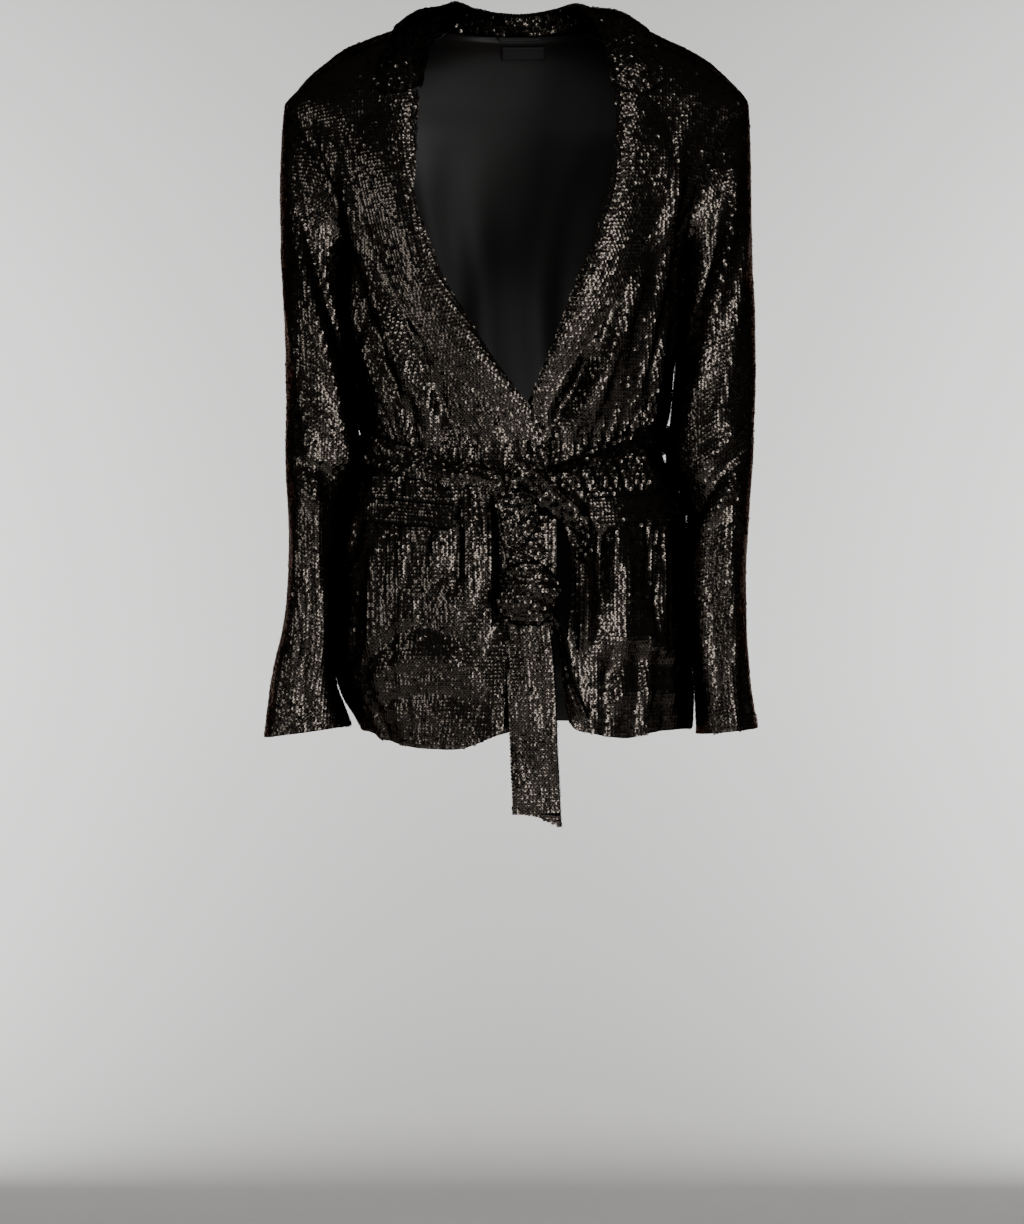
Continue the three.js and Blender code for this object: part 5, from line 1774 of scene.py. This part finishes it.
@dataclass
class Knot(Band):
    """A knot of the belt: round it, down from its top."""

    centre: tuple[float, float, float] = (0.0, 0.0, 0.0)
    half: tuple[float, float, float] = (1.0, 1.0, 1.0)
    creases: int = 3
    depth: float = 0.1

    def facing(self) -> Values:
        """The sampled place looks to the wearer's right and back."""
        return np.array([-0.8, 0.6, 0.0])

    def row_shares(self) -> Values:
        """Rows between the two ends of the lump."""
        return lerp(0.09, 0.91, along(self.rows))

    def surface(self, s: Values, t: Values) -> Values:
        """A rounded lump with the creases of the cloth drawn round it."""
        tilt, turn = np.pi * t, 2 * np.pi * s
        wave = 1 + self.depth * np.cos(self.creases * tilt + turn) * np.sin(tilt)
        wave = wave + 0.5 * self.depth * np.cos(2.3 * self.creases * tilt - 2 * turn) * np.sin(tilt)
        reach = wave * power(np.sin(tilt), 0.8)
        x, y, z = self.centre
        return stack(x + self.half[0] * reach * np.cos(turn), y + self.half[1] * reach * np.sin(turn),
                     z + self.half[2] * power(np.cos(tilt), 0.9))

    def ring_places(self) -> Pair:
        """Shares across and down, within the rows of the lump."""
        s, t = super().ring_places()
        inside = (t > 0.1) & (t < 0.9)
        return s[inside], t[inside]


def lining_point(angle: Values, z: Values, inset: float) -> Values:
    """Points inside the plain body where the lining hangs."""
    below = rise(NECK_Z - z, 1, 8)
    point, normal = plain_body(angle, z + lerp(1.5, LINING_DROP, below))
    hang = 2.2 + 1.8 * below + 8 * rise(-z, -24, 50) + 4 * rise(-z, 330, 420)
    point[..., 2] = z
    return point - normal * (hang + inset)[..., None]


@dataclass
class Smooth(ClothPiece):
    """A thin piece of satin or tape inside the blazer, without rings."""

    thickness: float = LINING_CLOTH
    held: str = "laid"
    slot: str = "satin"

    def facing(self) -> Values:
        """The outer face looks back."""
        return -FRONT

    def cloth(self, finishes: Finishes) -> Object:
        """The thin wall."""
        finish = finishes.satin if self.slot == "satin" else finishes.tape
        return wall_mesh(self.name, self.grid, self.thickness, finish, finish)


@dataclass
class Lining(Smooth):
    """The back lining: across from one side to the other, down from the neck."""

    held: str = "hung"

    def row_shares(self) -> Values:
        """Rows closest together at the neck."""
        return along(self.rows) ** 2

    def surface(self, s: Values, t: Values) -> Values:
        """The lining with its loose waves, kept inside the cloth."""
        angle, z = lerp(122.0, 238.0, s), lerp(NECK_Z - 1.5, -640.0, t)
        turned = half_turn(angle)
        wave = 1.3 * (1 + np.cos(2 * np.pi * (7 * s + 0.6 * np.sin(z / 140)))) * rise(-z, 40, 160)
        return lining_point(turned, z, 0.0) - plain_body(turned, z)[1] * wave[..., None]


@dataclass
class NeckTrim(Smooth):
    """A small piece on the lining at the neck: the plain label or the hanger loop."""

    left: float = 0.0
    right: float = 0.0
    top: float = 0.0
    bottom: float = 0.0
    inset: float = 1.0

    def surface(self, s: Values, t: Values) -> Values:
        """The piece, following the lining."""
        x, z = lerp(self.left, self.right, s), lerp(self.top, self.bottom, t)
        return lining_point(180 - angle_at(x, z + LINING_DROP), z, LINING_CLOTH + self.inset)


@dataclass
class Blazer:
    """The whole blazer, built from the body outward."""

    finishes: Finishes = field(default_factory=Finishes)

    def build(self) -> None:
        """Builds every piece, each on those under it."""
        fronts = [FrontPanel(f"{side.word}_front_cloth", f"{side.word}_front", (0.36, 0.76), 64, 112,
                             side=side, seed=11 + side.value).shape() for side in Side]
        backs = [BackPanel(f"back_{side.word}_cloth", f"back_{side.word}", (0.30, 0.74), 56, 112,
                           side=side, grain=1.7, seed=21 + side.value).shape() for side in Side]
        sleeves = [Sleeve(f"{side.word}_sleeve_cloth", f"{side.word}_sleeve", (0.34, 0.64), 64, 108,
                          side=side, seed=31 + side.value).shape() for side in Side]
        lapels = [Lapel(f"{side.word}_lapel_cloth", f"{side.word}_lapel", (0.09, 0.40), 16, 90,
                        held="folded", side=side, seed=41 + side.value, bed=Bed(front.grid),
                        rests_on=(front.node,)).shape()
                  for side, front in zip(Side, fronts)]
        collar = Collar("collar_cloth", "collar", (0.13, 0.50), 40, 110, 1.8, held="folded", seed=51,
                        sewing=Rings(scatter=7.0, loose=0.25)).shape()
        panels = Bed(*[piece.grid for piece in (*fronts, *backs)])
        belt = Belt("belt_cloth", "belt_band", (0.04, 0.90), 8, 260, BELT_CLOTH, held="folded", seed=52,
                    sewing=Rings(scatter=8.5, loose=0.3),
                    bed=Bed(*[piece.grid for piece in (*fronts, *backs, lapels[0])])).shape()
        pockets = self.pockets(panels)
        tied = self.tied_ends()
        lining = Lining("back_lining_cloth", "back_lining", (0.42, 0.72), 48, 40).shape()
        label = NeckTrim("plain_label", "neck_label", (0.046, 0.013), 16, 8, slot="woven_label",
                         left=-14, right=31, top=24, bottom=12, inset=3.2).shape()
        loop = NeckTrim("satin_loop", "hanger_loop", (0.037, 0.01), 16, 4, left=-15, right=21,
                        top=33, bottom=29).shape()
        right_front = fronts[0].grid
        upper = [piece.grid for piece in (*lapels, collar, belt, *pockets)]
        ties = [collar.grid, belt.grid]
        for pair, covers in (
            (fronts, (Bed(*upper), Bed(*upper, right_front))),
            (backs, (Bed(*upper), Bed(*upper))),
            (sleeves, (None, None)),
            (lapels, (Bed(*ties), Bed(*ties, right_front))),
        ):
            for piece, over in zip(pair, covers):
                piece.build(self.finishes, over)
        for piece in (collar, belt, *pockets, *tied, lining, label, loop):
            piece.build(self.finishes)

    def pockets(self, panels: Bed) -> list[Pocket]:
        """The flaps and welts of both pockets."""
        places = {Side.RIGHT: ((-58.0, -450.0), (-151.0, -439.0), 22.0),
                  Side.LEFT: ((71.0, -443.0), (163.0, -431.0), 23.0)}
        found = []
        for side, (start, end, drop) in places.items():
            below = (f"{side.word}_front", f"back_{side.word}")
            found.append(Pocket(f"{side.word}_flap_cloth", f"{side.word}_pocket_flap",
                                (0.12, drop * METRE + 0.002), 48, 10, held="laid", rests_on=below,
                                seed=61 + side.value, bed=panels, start=start, end=end, lower=drop).shape())
            found.append(Pocket(f"{side.word}_welt_cloth", f"{side.word}_pocket_welt", (0.12, 0.01),
                                48, 4, held="laid", rests_on=below, seed=71 + side.value, bed=panels,
                                start=start, end=end, upper=-5.6, lower=-0.6, free=0.0).shape())
        return found

    def tied_ends(self) -> list[ClothPiece]:
        """The knots and hanging ends of the belt."""
        loose = Rings(scatter=9.0, loose=0.3)
        return [
            Knot("belt_knot_cloth", "belt_knot", (0.05, 0.04), 40, 24, seed=81, sewing=loose,
                 centre=(10, -131, -424), half=(21, 7.5, 11)).shape(),
            Tied("knot_wrap_cloth", "knot_wrap", (0.026, 0.128), 32, 60, seed=82, sewing=loose,
                 line=KNOT_WRAP, depth=4.5).shape(),
            Tied("tail_upper_cloth", "tail_upper", (0.042, 0.072), 32, 40, seed=83, sewing=loose,
                 line=TAIL_UPPER, depth=5).shape(),
            Knot("second_knot_cloth", "second_knot", (0.055, 0.09), 56, 40, seed=84, sewing=loose,
                 centre=(12.5, -144, -535), half=(29, 14, 31), creases=5, depth=0.12).shape(),
            Tied("tail_lower_cloth", "tail_lower", (0.05, 0.192), 32, 70, seed=85, line=TAIL_LOWER,
                 slant=22).shape(),
            Tied("tail_short_cloth", "tail_short", (0.02, 0.105), 24, 50, seed=86, line=TAIL_SHORT).shape(),
        ]


@dataclass
class Studio:
    """Plain pale floor and backdrop, soft lights and the camera."""

    camera_place: tuple[float, float, float] = (-0.003, -3.3, -0.552)
    lens: float = 97.06
    floor_z: float = -1.62
    pale: tuple[float, float, float, float] = (0.82, 0.81, 0.80, 1.0)
    air: float = 0.05  # light from all round
    distance: float = 0.7  # what shows beyond the floor
    half_width: float = 5.0  # of the floor
    front_y: float = -3.4
    wall_y: float = 4.6
    wall_top: float = 6.0
    bend: float = 0.9  # radius between floor and wall
    # name, place, aim, width and height, radiance
    lights: tuple[tuple[str, tuple, tuple, tuple, float], ...] = (
        ("left_box", (-1.9, -1.2, -0.8), (0, 0, -0.5), (0.4, 1.2), 5.0),
        ("right_box", (0.9, -2.1, -0.75), (0, 0, -0.5), (0.36, 1.2), 15.0),
        ("near_box", (-0.45, -2.6, -1.25), (0, 0, -0.5), (0.3, 0.4), 12.0),
        ("top_box", (0.1, -2.3, 1.1), (0, 0, -0.1), (0.8, 0.35), 13.0),
        ("back_left", (-1.3, 1.9, -0.4), (0, 0, -0.4), (0.5, 1.3), 3.0),
        ("back_right", (1.25, 1.95, -0.4), (0, 0, -0.4), (0.5, 1.3), 3.0),
        ("wall_left", (-2.1, 2.8, -0.3), (-2.1, 4.6, -0.3), (1.3, 2.4), 9.0),
        ("wall_right", (2.1, 2.8, -0.3), (2.1, 4.6, -0.3), (1.3, 2.4), 9.0),
    )

    def build(self) -> None:
        """Makes the stage, the lights and the camera."""
        self.stage()
        for name, place, aim, size, radiance in self.lights:
            self.light(name, place, aim, size, radiance)
        self.surroundings()
        data = bpy.data.cameras.new("camera")
        data.lens = self.lens
        data.sensor_width = 36.0
        camera = bpy.data.objects.new("camera", data)
        camera.location = self.camera_place
        camera.rotation_euler = (math.radians(90), 0, 0)
        bpy.context.scene.collection.objects.link(camera)
        bpy.context.scene.camera = camera

    def surroundings(self) -> None:
        """Weak light from all round, with a pale distance past the floor's edge."""
        world = bpy.data.worlds.new("studio")
        world.use_nodes = True
        tree = world.node_tree
        seen = tree.nodes.new("ShaderNodeLightPath")
        strength = tree.nodes.new("ShaderNodeMath")
        strength.operation = "MULTIPLY_ADD"
        strength.inputs[1].default_value = self.distance - self.air
        strength.inputs[2].default_value = self.air
        tree.links.new(seen.outputs["Is Camera Ray"], strength.inputs[0])
        tree.nodes["Background"].inputs["Color"].default_value = (1.0, 0.99, 0.98, 1.0)
        tree.links.new(strength.outputs[0], tree.nodes["Background"].inputs["Strength"])
        bpy.context.scene.world = world

    def light(self, name: str, place: tuple, aim: tuple, size: tuple, radiance: float) -> None:
        """A soft box with its middle in a place, turned to another."""
        data = bpy.data.lights.new(name, "AREA")
        data.shape = "RECTANGLE"
        data.size, data.size_y = size
        data.energy = radiance * math.pi * size[0] * size[1]
        lamp = bpy.data.objects.new(name, data)
        lamp.location = place
        lamp.visible_camera = False
        lamp.rotation_euler = (Vector(aim) - Vector(place)).to_track_quat("-Z", "Y").to_euler()
        bpy.context.scene.collection.objects.link(lamp)

    def stage(self) -> None:
        """A pale floor that curves up into a backdrop."""
        turn = np.radians(np.linspace(0, 90, 13))
        bent_y = self.wall_y - self.bend + self.bend * np.sin(turn)
        bent_z = self.floor_z + self.bend * (1 - np.cos(turn))
        y = np.concatenate([[self.front_y], bent_y, [self.wall_y]])
        z = np.concatenate([[self.floor_z], bent_z, [self.wall_top]])
        x = np.array([-self.half_width, self.half_width])
        points = np.stack([np.tile(x, len(y)), np.repeat(y, 2), np.repeat(z, 2)], axis=1) / METRE
        i = 2 * np.arange(len(y) - 1)
        faces = np.stack([i, i + 1, i + 3, i + 2], axis=1)
        shader = Shader("pale_paper", Roughness=0.9, Base_Color=self.pale)
        uv = points[faces].reshape(-1, 3)[:, :2] * METRE
        floor = make_mesh("backdrop", points, faces, [shader.material], None, uv, CLOTH_MAP)


def main() -> None:
    """Builds the blazer and its studio."""
    logging.basicConfig(level=logging.INFO, format="%(name)s: %(message)s")
    Blazer().build()
    Studio().build()


if __name__ == "__main__":
    main()
